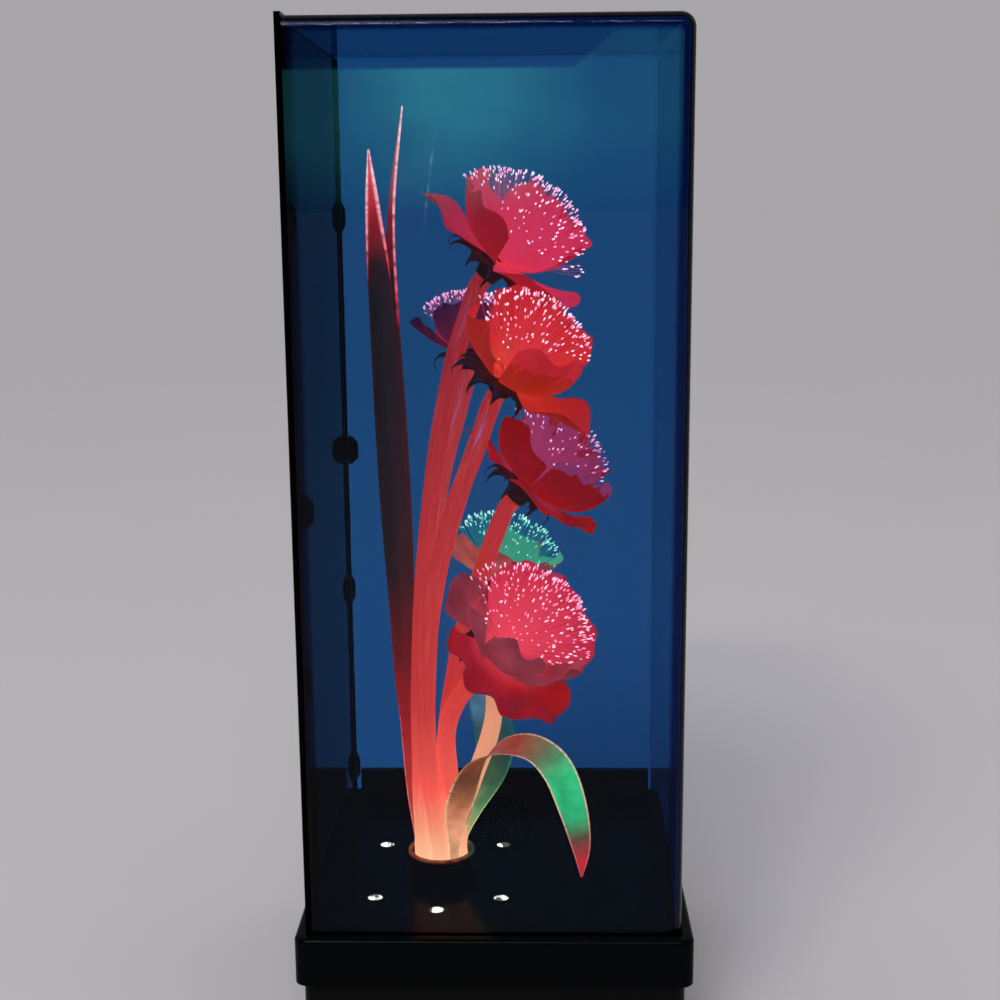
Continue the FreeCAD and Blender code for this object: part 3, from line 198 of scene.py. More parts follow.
# Each flower as shown on screen. Sleeve: low, middle, high and streaks. Petals: root, middle, rim
# and vein inside, the same outside, and the record's slot. Fibres: near the cup, near the tip,
# bright tips, dimmer tips, and their number.
FLOWER_LOOKS = {
    "top": (((270, 98, 82), (206, 54, 50), (136, 28, 34), (214, 76, 70)), ((236, 56, 80),
        (206, 46, 80), (190, 42, 78), (166, 28, 54), (206, 32, 44), (172, 22, 32), (150, 18, 34),
        (122, 12, 20), "petals_pink"), ((206, 46, 72), (184, 54, 92), (255, 222, 234),
        (255, 150, 182), 330)),
    "upper": (((270, 98, 82), (206, 56, 50), (146, 30, 34), (226, 84, 76)), ((240, 74, 56),
        (208, 44, 28), (190, 34, 44), (150, 18, 16), (204, 46, 16), (182, 38, 12), (160, 30, 10),
        (136, 18, 6), "petals_red"), ((220, 50, 50), (200, 52, 72), (255, 222, 230),
        (255, 140, 160), 390)),
    "upper_back": (((255, 118, 98), (196, 62, 60), (140, 38, 46), (214, 84, 78)), ((190, 50, 76),
        (160, 44, 80), (104, 36, 76), (76, 22, 54), (140, 30, 48), (80, 22, 52), (32, 16, 52),
        (44, 14, 36), "petals_pink"), ((150, 40, 80), (164, 60, 108), (255, 196, 222),
        (244, 120, 166), 150)),
    "middle": (((266, 98, 82), (198, 50, 46), (146, 28, 32), (218, 74, 68)), ((176, 50, 84),
        (152, 54, 92), (128, 50, 104), (104, 30, 66), (168, 14, 16), (146, 10, 12), (130, 7, 10),
        (96, 4, 6), "petals_red"), ((140, 40, 80), (150, 52, 98), (255, 190, 218), (232, 104, 150),
        200)),
    "rear": (((250, 166, 124), (230, 152, 116), (232, 150, 118), (244, 180, 142)),
        ((134, 196, 134), (90, 184, 130), (52, 156, 128), (36, 116, 92), (176, 84, 76),
        (156, 74, 72), (120, 60, 66), (100, 44, 46), "petals_brown"), ((30, 130, 100),
        (30, 140, 120), (180, 252, 228), (70, 210, 176), 210)),
    "lower": (((266, 98, 82), (222, 60, 52), (206, 46, 42), (244, 96, 80)), ((244, 84, 96),
        (222, 60, 80), (176, 34, 58), (170, 28, 50), (206, 26, 26), (166, 16, 18), (118, 12, 16),
        (110, 8, 12), "petals_pink"), ((236, 66, 80), (216, 60, 84), (255, 206, 216),
        (255, 124, 142), 440)),
}
SILK_DYES = {"petals_pink": (0.26, 0.014, 0.022), "petals_red": (0.22, 0.008, 0.008),
             "petals_brown": (0.14, 0.06, 0.04)}
SECOND_LOOK = (148, 54, 64)  # the silk's second colour, except for
SECOND_LOOKS = {"upper": (238, 74, 60), "rear": (172, 76, 72)}
# Leaves: slot, material, dye, stops of the face and of the edge, the edge's share of the half
# width near the foot and at the tip, its dashes, and whether it is on one side only.
TALL_DYE = (0.02, 0.02, 0.012)
TALL_FACE = ((0, 240, 120, 90), (0.08, 206, 60, 52), (0.2, 158, 26, 26), (0.3, 104, 20, 18),
             (0.42, 40, 20, 16), (0.8, 26, 20, 22))
LEAF_LOOKS = {
    "tall_leaf_left": ("leaf_tall", "leaf_tall_left", TALL_DYE, (*TALL_FACE, (0.85, 44, 20, 24),
        (0.9, 140, 24, 32), (0.96, 226, 40, 58), (1, 250, 90, 110)), ((0, 255, 130, 110),
        (0.17, 255, 120, 130), (0.24, 150, 34, 36), (0.4, 34, 20, 20), (0.82, 50, 20, 26),
        (0.85, 240, 60, 84), (0.89, 255, 150, 170), (1, 255, 226, 232)), 0.13, 0.9, 90, False),
    "tall_leaf_right": ("leaf_tall", "leaf_tall_right", TALL_DYE, (*TALL_FACE, (0.76, 60, 20, 22),
        (0.86, 120, 24, 34), (0.96, 216, 44, 62)), ((0, 200, 70, 60), (0.12, 120, 30, 36),
        (0.3, 40, 20, 20), (0.72, 60, 20, 24), (0.76, 244, 60, 80), (0.84, 255, 150, 168),
        (1, 255, 226, 232)), 0.24, 0.9, 90, True),
    "arching_leaf": ("leaf_arching", "leaf_arching", (0.05, 0.1, 0.03), ((0, 255, 184, 138),
        (0.17, 253, 158, 116), (0.24, 186, 106, 70), (0.31, 112, 60, 36), (0.4, 152, 76, 48),
        (0.52, 164, 64, 50), (0.6, 118, 112, 78), (0.69, 58, 204, 128), (0.82, 52, 184, 116),
        (0.88, 104, 74, 52), (0.95, 206, 34, 44)), ((0, 255, 200, 156), (0.24, 252, 186, 140),
        (0.36, 190, 110, 70), (0.5, 190, 120, 96), (0.62, 244, 196, 176), (0.8, 250, 176, 150),
        (0.9, 255, 120, 120), (1, 255, 190, 180)), 0.14, 0.14, 110, False),
    "back_leaf": ("leaf_back", "leaf_back", (0.02, 0.08, 0.04), ((0, 246, 190, 130),
        (0.12, 206, 186, 118), (0.27, 84, 146, 92), (0.42, 24, 88, 58), (0.6, 16, 62, 58),
        (0.75, 26, 78, 94), (0.86, 64, 116, 146), (1, 44, 90, 124)), ((0, 255, 222, 168),
        (0.25, 196, 216, 140), (0.45, 70, 130, 84), (0.7, 24, 84, 76), (1, 50, 100, 130)), 0.14,
        0.14, 80, False),
}
# CAD nodes' finishes: nodes, material, colour, roughness, and grain, its relief and dust
PLASTICS = (
    ("base_housing", "base_plastic", (0.0012, 0.0012, 0.0013), 0.3),
    ("rear_rail bottom_plate collar_nut", "dark_plastic", (0.0015, 0.0015, 0.0016), 0.3),
    ("panel_clips", "clip_plastic", (0.0015, 0.0015, 0.002), 0.4, 900, 4e-5, 0.05),
    ("switch_rocker", "rocker_plastic", (0.012, 0.012, 0.013), 0.22),
    ("switch_housing", "switch_plastic", (0.008, 0.008, 0.008), 0.4),
    ("rubber_feet cord_bushing", "rubber", (0.01, 0.01, 0.01), 0.8, 500, 1e-4),
    ("wheel_hub", "hub_plastic", (0.55, 0.53, 0.48), 0.45),
    ("terminal_block", "block_plastic", (0.62, 0.6, 0.52), 0.5),
    ("switch_lead lamp_lead motor_lead", "lead_sleeve", (0.5, 0.48, 0.42), 0.5),
    ("lamp_holder", "lamp_ceramic", (0.75, 0.73, 0.68), 0.7, 600, 1e-4),
)
# and how the metals' marks run
METALS = (
    ("base_screws motor_bracket motor_can motor_screws lamp_bracket transformer_bracket",
     "zinc_steel", (0.55, 0.55, 0.56), 0.35),
    ("wheel_shaft", "polished_steel", (0.7, 0.7, 0.7), 0.15, (1, 1, 12)),
    ("bundle_ferrule", "brass_ferrule", (0.75, 0.55, 0.25), 0.25, (1, 1, 14)),
    ("lamp_reflector", "reflector", (0.88, 0.87, 0.84), 0.08),
)
FILTERS = {"filter_red": (0.8, 0.03, 0.02), "filter_amber": (0.9, 0.45, 0.03),
           "filter_green": (0.05, 0.6, 0.12), "filter_blue": (0.04, 0.14, 0.75)}


def linear(*rgb):
    """A colour as shown on screen, 0 to 255, as linear light."""
    return tuple((c / 255 / 12.92) if c <= 10 else ((c / 255 + 0.055) / 1.055) ** 2.4 for c in rgb)


def lit(*rgb):
    """The light a piece inside the case gives off so that it shows this colour from outside."""
    return tuple(min(c / (t * GLOW), 4) for c, t in zip(linear(*rgb), PANE)) + (1,)


def toned(colour, share, lift=0):
    """A colour made darker or brighter."""
    return tuple(share * c + lift for c in colour)


# ---- shader graphs
class Graph:
    """A material under construction."""

    def __init__(self, owner):
        """owner is a new material's name, or the world."""
        if isinstance(owner, str):
            owner = bpy.data.materials.new(owner)
            owner.cycles.emission_sampling = "NONE"
        owner.use_nodes = True
        self.material = owner
        self.tree = owner.node_tree
        self.tree.nodes.clear()

    def add(self, kind, inputs=None, **settings):
        node = self.tree.nodes.new("ShaderNode" + kind)
        for key, value in settings.items():
            setattr(node, key, value)
        for key, value in (inputs or {}).items():
            self.join(value, node.inputs[key])
        return node

    def join(self, value, socket):
        if isinstance(value, bpy.types.Node):
            value = value.outputs[0]
        if isinstance(value, bpy.types.NodeSocket):
            self.tree.links.new(value, socket)
        elif hasattr(value, "__len__") and len(value) == 3 and socket.type == "RGBA":
            socket.default_value = (*value, 1)
        else:
            socket.default_value = value

    @property
    def place(self):
        return self.add("TexCoord").outputs["Object"]

    def xyz(self, vector):
        return self.add("SeparateXYZ", {"Vector": vector}).outputs[:3]

    def uv(self):
        return self.xyz(self.add("TexCoord").outputs["UV"])[:2]

    def vector(self, x, y=0):
        return self.add("CombineXYZ", {"X": x, "Y": y})

    def upward(self):
        """How much the surface faces up, from -1 to 1."""
        return self.xyz(self.add("NewGeometry").outputs["Normal"])[2]

    def math(self, operation, a, b=0):
        return self.add("Math", {0: a, 1: b}, operation=operation)

    def times(self, product, *factors):
        for factor in factors:
            product = self.math("MULTIPLY", product, factor)
        return product

    def size(self, value):
        return self.math("ABSOLUTE", value)

    def span(self, value, low, high, to_low=0, to_high=1):
        return self.add("MapRange", {"Value": value, "From Min": low, "From Max": high,
                                     "To Min": to_low, "To Max": to_high})

    def run(self, place, low, high, to_low=0, to_high=1):
        """A span between two places in millimetres."""
        return self.span(place, low * MM, high * MM, to_low, to_high)

    def stretched(self, x, y, z):
        return self.add("Mapping", {"Vector": self.place, "Scale": (x, y, z)})

    def noise(self, scale, detail=3, vector=None):
        vector = self.place if vector is None else vector
        return self.add("TexNoise", {"Vector": vector, "Scale": scale, "Detail": detail})

    def cells(self, scale):
        return self.add("TexVoronoi", {"Vector": self.place, "Scale": scale})

    def bands(self, vector, scale, distortion, detail=2, axis="X"):
        """Soft lines across an axis."""
        return self.add("TexWave", {"Vector": vector, "Scale": scale, "Distortion": distortion,
                                    "Detail": detail}, bands_direction=axis)

    def ramp(self, value, *stops):
        node = self.add("ValToRGB", {"Fac": value})
        bar = node.color_ramp.elements
        while len(bar) < len(stops):
            bar.new(0.5)
        for element, (at, colour) in zip(bar, stops):
            element.position = at
            element.color = colour if len(colour) == 4 else (*colour, 1)
        return node

    def lit_ramp(self, value, *stops):
        """A ramp of colours as they show from outside the case."""
        return self.ramp(value, *[(at, lit(*rgb)) for at, *rgb in stops])

    def blend(self, share, a, b):
        node = self.add("Mix", data_type="RGBA")
        self.join(share, node.inputs[0])
        self.join(a, node.inputs[6])
        self.join(b, node.inputs[7])
        return node.outputs[2]

    def bump(self, height, distance, strength=1):
        return self.add("Bump", {"Height": height, "Distance": distance, "Strength": strength})

    def mixed(self, share, first, second):
        return self.add("MixShader", {0: share, 1: first, 2: second})

    def surface(self, shader, volume=None):
        out = self.add("OutputMaterial", {"Surface": shader})
        if volume is not None:
            self.join(volume, out.inputs["Volume"])
        return self.material

    def see_through(self, solid, tint, volume=None):
        """A surface that casts only a tinted shadow."""
        clear = self.add("BsdfTransparent", {"Color": tint})
        shadow = self.add("LightPath").outputs["Is Shadow Ray"]
        return self.surface(self.mixed(shadow, solid, clear), volume)

    def principled(self, colour, roughness, **inputs):
        names = {key.replace("_", " ").title().replace("Ior", "IOR"): value
                 for key, value in inputs.items()}
        return self.add("BsdfPrincipled", {"Base Color": colour, "Roughness": roughness, **names})

    def finish(self, colour, roughness, glow=None, **inputs):
        """The material of a solid surface; glow is the light that a lit piece gives off."""
        if glow is not None:
            inputs["emission_color"] = glow
            inputs.setdefault("emission_strength", GLOW)
        return self.surface(self.principled(colour, roughness, **inputs))


def moulded_plastic(name, colour, roughness, grain=900, relief=4e-5, dust=0.12):
    """Moulded plastic: a fine even grain, uneven gloss and a little settled dust."""
    g = Graph(name)
    cloud = g.noise(25, 4)
    speck = g.span(g.cells(420), 0.1, 0.03)
    dusty = g.times(speck, g.span(g.upward(), 0.4, 0.9), dust)
    tone = g.blend(g.span(cloud, 0.35, 0.7), colour, toned(colour, 1.5, 0.0005))
    return g.finish(g.blend(dusty, tone, DUST),
                    g.span(cloud, 0.3, 0.7, roughness, roughness + 0.14),
                    specular_ior_level=0.07, normal=g.bump(g.noise(grain, 2), relief))


def deck_plastic():
    """Polished black deck: fine wiping scratches, dust, and lamp light in the vents' bores."""
    g = Graph("deck_plastic")
    *across, z = g.xyz(g.place)
    facing = g.upward()
    scratch_a = g.noise(1, 2, g.stretched(40, 900, 1))
    scratch_b = g.noise(1, 2, g.stretched(700, 60, 1))
    scratches = g.math("MAXIMUM", g.span(scratch_a, 0.68, 0.74), g.span(scratch_b, 0.7, 0.76))
    speck = g.span(g.cells(300), 0.09, 0.03)
    marks = g.times(g.math("MAXIMUM", speck, g.times(scratches, 0.25)), g.span(facing, 0.5, 0.9))
    tone = g.blend(g.times(marks, 0.08), (0.0012, 0.002, 0.0022), (0.3, 0.3, 0.3))
    squares = [g.math("POWER", g.math("SUBTRACT", here, axis * MM), 2)
               for here, axis in zip(across, COLLAR_AXIS)]
    ring = g.math("COMPARE", g.math("SQRT", g.math("ADD", *squares)), VENT_RING_R * MM)
    ring.inputs[2].default_value = (VENT_R + 0.3) * MM
    below = g.math("LESS_THAN", z, (DECK - 0.1) * MM)
    upright = g.math("LESS_THAN", g.size(facing), 0.3)
    flicker = g.span(g.noise(240, 2), 0.42, 0.5, 0.06, 1)
    share = g.times(ring, below, upright, flicker, g.run(z, DECK - 0.5, DECK - 1))
    glow = g.blend(share, BLACK, toned(lit(*VENT_LIGHT), 1.6))
    return g.finish(tone, g.span(g.noise(30), 0.3, 0.7, 0.08, 0.16), glow,
                    specular_ior_level=0.02, normal=g.bump(scratches, 1e-5, 0.5))


def collar_plastic():
    """Black collar, scuffed, with the bundle's light caught on its rim: orange, and green at the
    back leaf's side."""
    g = Graph("collar_plastic")
    x, _, z = g.xyz(g.place)
    scuff = g.span(g.noise(1, vector=g.stretched(300, 300, 1400)), 0.62, 0.74)
    side = g.run(x, COLLAR_AXIS[0] + 10, COLLAR_AXIS[0] + 17)
    top = g.run(z, DECK + COLLAR_RIM - 1.6, DECK + COLLAR_RIM - 0.2)
    spots = g.span(g.noise(240), 0.35, 0.65, 0.25, 1)
    glow = g.blend(g.times(top, spots), BLACK, g.blend(side, lit(150, 70, 34), lit(46, 84, 46)))
    tone = g.blend(g.times(scuff, 0.12), (0.002, 0.0018, 0.0018), (0.3, 0.28, 0.25))
    return g.finish(tone, 0.3, glow, specular_ior_level=0.2,
                    normal=g.bump(g.bands(g.place, 130, 0.3, axis="Z"), 8e-5))


def case_acrylic(name, pane, ior, teal_glow_share=0):
    """Blue tinted acrylic: the tint is in its thickness, so edges seen lengthwise are navy;
    painted shade darkens the rounded front edges further. pane is what one wall lets through.
    teal_glow_share is the share of a painted teal glow on the front wall's outside, in a cloudy
    band under its top with a faint scratch in it."""
    g = Graph(name)
    x, y, z = g.xyz(g.place)
    smear = g.noise(1, 4, g.stretched(14, 14, 5))
    # the front wall's rounded edges, where it turns into the side and the top, tinted with painted
    # shade
    side = g.math("MAXIMUM", g.run(g.size(x), *SIDE_EDGE), g.run(z, *TOP_EDGE))
    edge = g.times(g.run(y, *FRONT_EDGE), side)
    glass = g.principled(g.blend(edge, CLEAR, PAINTED_EDGE_SHADE), g.span(smear, 0.5, 0.8, 0, 0.03),
                         transmission_weight=1, ior=ior)
    # painted light: a diffuse teal film on the front wall's outside shows a glow under its top
    if teal_glow_share:
        front = g.math("LESS_THAN", y, (FRONT + 0.1) * MM)
        over = g.math("SUBTRACT", z, g.run(x, *PAINTED_GLOW_STEP, *PAINTED_GLOW_RIM))
        middle = g.run(g.size(g.math("ADD", x, PAINTED_GLOW_MIDDLE * MM)), *PAINTED_GLOW_REACH, 0.22, 1)
        cloud = g.span(g.noise(22, vector=g.stretched(1, 1, 1.6)), 0.3, 0.65, 0.6, 1)
        share = g.times(front, g.run(over, 0.8, -0.8), g.run(z, *PAINTED_GLOW_FOOT), middle, cloud, teal_glow_share)
        glass = g.mixed(share, glass, g.add("BsdfDiffuse", {"Color": PAINTED_GLOW}))
        lean = g.math("SUBTRACT", x, g.run(z, *SCRATCH[0], *SCRATCH[1]))
        line = g.times(g.run(g.size(lean), 0.9, 0.1), g.run(z, 421, 440),
                       g.run(z, 471, 462), front, g.span(g.noise(180), 0.4, 0.7, 0, 0.16))
        glass = g.mixed(line, glass, g.add("BsdfDiffuse", {"Color": SCUFF}))
    # what a wall of PANE_T lets through is pane, and an absorption volume dims by
    # exp(-density * (1 - colour) * thickness)
    density = -log(pane[0]) / (PANE_T * MM)
    colour = tuple(1 - log(share) / log(pane[0]) for share in pane)
    tint = g.add("VolumeAbsorption", {"Color": colour, "Density": density})
    return g.see_through(glass, (1, 1, 1), tint)


def silk(name, root, middle, rim, vein, dye, second):
    """Petal silk with a painted glow for the light from the fibres: colour from the root to the
    rim, veins, and painted shade in soft creases.
    """
    g = Graph(name)
    across, along = g.uv()
    painted_crease_shade = g.noise(55)
    base = g.lit_ramp(along, (0, *root), (0.45, *middle), (0.98, *rim))
    lines = g.bands(g.vector(across), 9, 1.5)
    # painted shade in creases: a noise darkens the glow towards the vein colour
    base = g.blend(g.span(painted_crease_shade, 0.35, 0.75, 0, 0.55), base, lit(*vein))
    base = g.blend(g.span(lines, 0, 0.35, 0.22, 0), base, lit(*vein))
    mark = g.add("Attribute", attribute_name="second").outputs["Fac"]
    cast = g.blend(g.math("LESS_THAN", mark, 0), lit(*second), lit(*DEEP_RED))
    # painted shade in creases on the second colour too, towards black
    cast = g.blend(g.span(painted_crease_shade, 0.35, 0.65, 0, 0.5), cast, BLACK)
    base = g.blend(g.times(g.span(along, 0.15, 0.6), g.size(mark)), base, cast)
    shade = g.add("Attribute", attribute_name="shade").outputs["Fac"]
    return g.finish(dye, 0.75, g.blend(shade, BLACK, base), sheen_weight=0.08,
                    sheen_roughness=0.5, specular_ior_level=0.2,
                    normal=g.bump(g.noise(1800, 1), 8e-5))


def fibre(name, near, far):
    """Clear fibre strand: faint side glow that rises towards the tip."""
    g = Graph(name)
    glow = g.lit_ramp(g.uv()[1], (0, *near), (1, *far))
    return g.finish((0.05, 0.03, 0.04), 0.3, glow, specular_ior_level=0.2)


def tip(name, colour, edge):
    """Cut fibre end: bright in the middle of its length and fading to the strand."""
    g = Graph(name)
    glow = g.lit_ramp(g.uv()[1], (0, *edge), (0.35, *colour), (1, *colour))
    return g.finish((0.8, 0.8, 0.8), 0.2, glow)


def sleeve(name, low, middle, high, streak):
    """Translucent plastic sleeve full of fibres: glow by height with fine lengthwise streaks."""
    g = Graph(name)
    across, along = g.uv()
    height = g.run(g.xyz(g.place)[2], DECK, DECK + 320)
    base = g.lit_ramp(height, (0, 276, 208, 152), (0.06, 272, 184, 138), (0.16, *low),
                      (0.3, *middle), (0.9, *high))
    lines = g.noise(3, vector=g.vector(g.times(across, 9), g.times(along, 5)))
    cloud = g.noise(45)
    over_foot = g.span(height, 0.04, 0.16)
    base = g.blend(g.times(over_foot, g.span(lines, 0.42, 0.66, 0, 0.32)), base, lit(*streak))
    base = g.blend(g.times(over_foot, g.span(cloud, 0.3, 0.75, 0.2, 0)), base, lit(*DARK_CAST))
    return g.finish((0.14, 0.015, 0.012), 0.25, base, coat_weight=0.12, coat_roughness=0.08,
                    normal=g.bump(lines, 2e-4))


def leaf_material(name, dye, face_stops, edge_stops, edge_width, tip_width, dash, one_edge):
    """Plastic leaf: face glow along its length, and edges where the light leaks out in dashes.
    The edge's share of the half width goes from edge_width to tip_width towards the tip."""
    g = Graph(name)
    across, along = g.uv()
    side = g.times(g.math("SUBTRACT", across, 0.5), 2)
    if not one_edge:
        side = g.size(side)
    broken = g.noise(1, 2, g.vector(g.times(along, dash)))
    inner = g.span(along, 0.84, 1, 1 - edge_width, 1 - tip_width)
    full = g.span(along, 0.84, 1, 1 - 0.5 * edge_width, 1 - 0.5 * tip_width)
    near = g.times(g.span(side, inner, full), g.span(broken, 0.38, 0.56, 0.2, 1))
    mottle = g.span(g.noise(120, 4), 0.35, 0.75, 0, 0.45)
    face = g.blend(mottle, g.lit_ramp(along, *face_stops), BLACK)
    return g.finish(dye, 0.35, g.blend(near, face, g.lit_ramp(along, *edge_stops)),
                    coat_weight=0.2, normal=g.bump(g.bands(g.vector(across), 3.6, 0.4), 2e-4))


def metal(name, colour, roughness, brushed=(1, 1, 1)):
    """Metal with rolling or drawing marks and uneven gloss."""
    g = Graph(name)
    marks = g.noise(700, vector=g.stretched(*brushed))
    tone = g.blend(g.span(g.noise(60), 0.3, 0.7), colour, toned(colour, 0.75))
    return g.finish(tone, g.span(marks, 0.3, 0.7, roughness, roughness + 0.15), metallic=1,
                    normal=g.bump(marks, 2e-5))


def coloured_gel(name, colour):
    """Colour filter of the wheel: stained clear plastic."""
    g = Graph(name)
    tone = g.blend(g.span(g.noise(90), 0.3, 0.7), colour, toned(colour, 0.8))
    gel = g.principled(tone, 0.12, transmission_weight=0.85, ior=1.49)
    return g.see_through(gel, colour)


def bundle_face():
    """Packed fibre ends: a glowing round cell to each fibre."""
    g = Graph("bundle_face")
    glow = g.lit_ramp(g.cells(900), (0, 255, 214, 170), (0.45, 250, 140, 100),
                      (0.8, 120, 40, 30))
    return g.finish((0.5, 0.3, 0.22), 0.3, glow)


def cup_plastic():
    """Soft dark green plastic of the flower cups, with a red cast where the light leaks in."""
    g = Graph("cup_plastic")
    cloud = g.noise(130, 4)
    glow = g.lit_ramp(g.uv()[1], (0, 16, 4, 6), (0.7, 30, 5, 8), (1, 90, 12, 18))
    tone = g.ramp(cloud, (0.3, (0.006, 0.012, 0.006)), (0.7, (0.02, 0.03, 0.012)))
    return g.finish(tone, 0.5, glow, normal=g.bump(cloud, 2e-4))


def lamp_glass():
    """The burning halogen capsule."""
    g = Graph("lamp_glass")
    cloud = g.noise(200, 2)
    glow = g.ramp(cloud, (0.3, (1, 0.82, 0.55)), (0.7, (1, 0.93, 0.8)))
    return g.finish((0.9, 0.9, 0.85), 0.1, glow, emission_strength=LAMP_GLOW)


def striped(name, colour, gap_colour, scale, axis, roughness=0.5, metallic=0):
    """Stacked or wound layers: fine even lines across one axis."""
    g = Graph(name)
    lines = g.bands(g.place, scale, 0.6, 1, axis)
    tone = g.blend(g.span(lines, 0.15, 0.45, 1, 0), colour, gap_colour)
    tone = g.blend(g.span(g.noise(70), 0.4, 0.8, 0, 0.3), tone, gap_colour)
    return g.finish(tone, roughness, metallic=metallic, normal=g.bump(lines, 2e-4))


# ---- mesh builders
def over_deck(x, y, z):
    return Vector((x, y, z + DECK)) * MM


def placed(name):
    """Takes millimetres round a flower's axis to metres in the scene, as the CAD model does."""
    point, facing = FLOWERS[name][:2]
    turn = UP.rotation_difference(Vector(facing).normalized()).to_matrix()
    origin = over_deck(*point)
    return lambda p: origin + turn @ (p * MM)


def polar(opening, turn):
    """Direction at an opening angle from +Z, turned round it; radians."""
    return Vector((sin(opening) * cos(turn), sin(opening) * sin(turn), cos(opening)))


def seat(ring, angle):
    """A place in the collar, where a stem or a leaf starts."""
    turn = radians(angle)
    return over_deck(COLLAR_AXIS[0] + ring * cos(turn), COLLAR_AXIS[1] + ring * sin(turn),
                     BUNDLE_TOP)


def heading(line, i):
    """Direction in which a line of points runs at its point i."""
    return (line[min(i + 1, len(line) - 1)] - line[max(i - 1, 0)]).normalized()


def put(name, data):
    """A new object in the scene."""
    thing = bpy.data.objects.new(name, data)
    bpy.context.scene.collection.objects.link(thing)
    return thing


class Shell:
    """Collects vertices, faces, material numbers and UVs, and makes one smooth mesh of them."""

    def __init__(self):
        self.points, self.faces, self.kinds, self.corners = [], [], [], []
        self.shades, self.seconds = [], []

    def grid(self, rows, uv_rows, kind=0, wrap=None, flip=False):
        """A sheet of quads over rows of points. wrap joins each row's end to its start, and is
        the U that the start has there."""
        first = len(self.points)
        width = len(rows[0])
        for row in rows:
            self.points.extend(row)
        for i in range(len(rows) - 1):
            for j in range(width - 1 if wrap is None else width):
                k = (j + 1) % width
                quad = [(i, j), (i, k), (i + 1, k), (i + 1, j)]
                marks = [uv_rows[a][b] for a, b in quad]
                if k == 0:
                    marks[1:3] = [(wrap, v) for u, v in marks[1:3]]
                if flip:
                    quad.reverse()
                    marks.reverse()
                self.faces.append([first + a * width + b for a, b in quad])
                self.kinds.append(kind)
                self.corners.append(marks)
        return first

    def tube(self, rows, uv_rows, kind=0, ends=(0, 1), wrap=1):
        """A closed skin over rings of points, with a face on each end; ends are their V."""
        width = len(rows[0])
        first = self.grid(rows, uv_rows, kind, wrap)
        last = first + width * (len(rows) - 1)
        self.faces.append(list(reversed(range(first, first + width))))
        self.faces.append(list(range(last, last + width)))
        self.kinds += [kind, kind]
        self.corners += [[(0.5, v)] * width for v in ends]

    def piece(self, name, materials, body="base", weld=0):
        mesh = bpy.data.meshes.new(name)
        mesh.from_pydata([tuple(p) for p in self.points], [], self.faces)
        flat = [value for marks in self.corners for mark in marks for value in mark]
        mesh.uv_layers.new(name="UVMap").data.foreach_set("uv", flat)
        mesh.polygons.foreach_set("material_index", self.kinds)
        mesh.polygons.foreach_set("use_smooth", [True] * len(self.faces))
        for material in materials:
            mesh.materials.append(material)
        for label, values in (("shade", self.shades), ("second", self.seconds)):
            if values:
                mesh.attributes.new(label, "FLOAT", "POINT").data.foreach_set("value", values)
        mesh.update()
        thing = put(name, mesh)
        if weld:
            step = thing.modifiers.new("weld", "WELD")
            step.merge_threshold = weld
        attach(thing, body)
        return thing


def sweep(shell, line, radii, sides, kind=0, capped=True):
    """A round tube along a line of points, with a radius at each; UV runs round and along."""
    side = heading(line, 0).orthogonal().normalized()
    angles = [2 * pi * j / sides for j in range(sides)]
    rows, marks = [], []
    for i, (point, radius) in enumerate(zip(line, radii)):
        run = heading(line, i)
        side = (side - run * side.dot(run)).normalized()
        other = run.cross(side)
        rows.append([point + (side * cos(a) + other * sin(a)) * radius for a in angles])
        marks.append([(j / sides, i / (len(line) - 1)) for j in range(sides)])
    if capped:
        shell.tube(rows, marks, kind)
    else:
        shell.grid(rows, marks, kind, wrap=1)


def rounded_route(corners, steps):
    """A smooth line near straight runs: it leaves each run at its middle and rounds the corner."""
    line = [corners[0]]
    ends = [(a + b) / 2 for a, b in zip(corners, corners[1:])]
    for start, corner, end in zip(ends, corners[1:], ends[1:]):
        for i in range(steps):
            t = i / steps
            line.append(start * (1 - t) ** 2 + corner * 2 * t * (1 - t) + end * t * t)
    return line + [ends[-1], corners[-1]]


def through(values, steps):
    """A smooth line through every point (Catmull-Rom); works on vectors and on numbers."""
    padded = [values[0] * 2 - values[1], *values, values[-1] * 2 - values[-2]]
    line = []
    for a, b, c, d in zip(padded, padded[1:], padded[2:], padded[3:]):
        for i in range(steps):
            t = i / steps
            line.append((b * 2 + (c - a) * t + (a * 2 - b * 5 + c * 4 - d) * t ** 2
                         + (b * 3 - a - c * 3 + d) * t ** 3) * 0.5)
    line.append(values[-1])
    return line


# ---- bouquet
def make_stem(name, material):
    point, facing, _, _, angle, route = FLOWERS[name]
    axis = Vector(facing).normalized()
    root = seat(0, 0) if angle is None else seat(STEM_RING_R, angle)
    top = over_deck(*point) - axis * CALYX_FOOT * MM
    corners = [root, root + UP * (COLLAR_RIM * MM), *[over_deck(*p) for p in route],
               top - axis * STEM_LEAD * MM, top]
    line = rounded_route(corners, 12)
    phase = Random("stem " + name).uniform(0, 6)
    radii = [(STEM_R - 0.05 + 0.12 * sin(phase + 0.55 * i)) * MM for i in range(len(line))]
    shell = Shell()
    sweep(shell, line, radii, 28)
    stem = shell.piece("sleeve_" + name, [material])
    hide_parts("stem_" + name)


def petal_rows(name):
    return [(*row, *PETAL_REST[len(row) - 4:]) for row in PETALS[name]]


def fibre_limit(name, spin):
    """How far the fan opens towards spin before a petal's rim holds the fibres in, in degrees."""
    limit = FLOWERS[name][3]
    for centre, half_width, _, rim, reach, *_ in petal_rows(name):
        off = abs((degrees(spin) - centre + 180) % 360 - 180) / half_width
        if off < 1 and reach > 0.8:
            limit = min(limit, rim - 4 + 9 * off ** 3)
    return limit


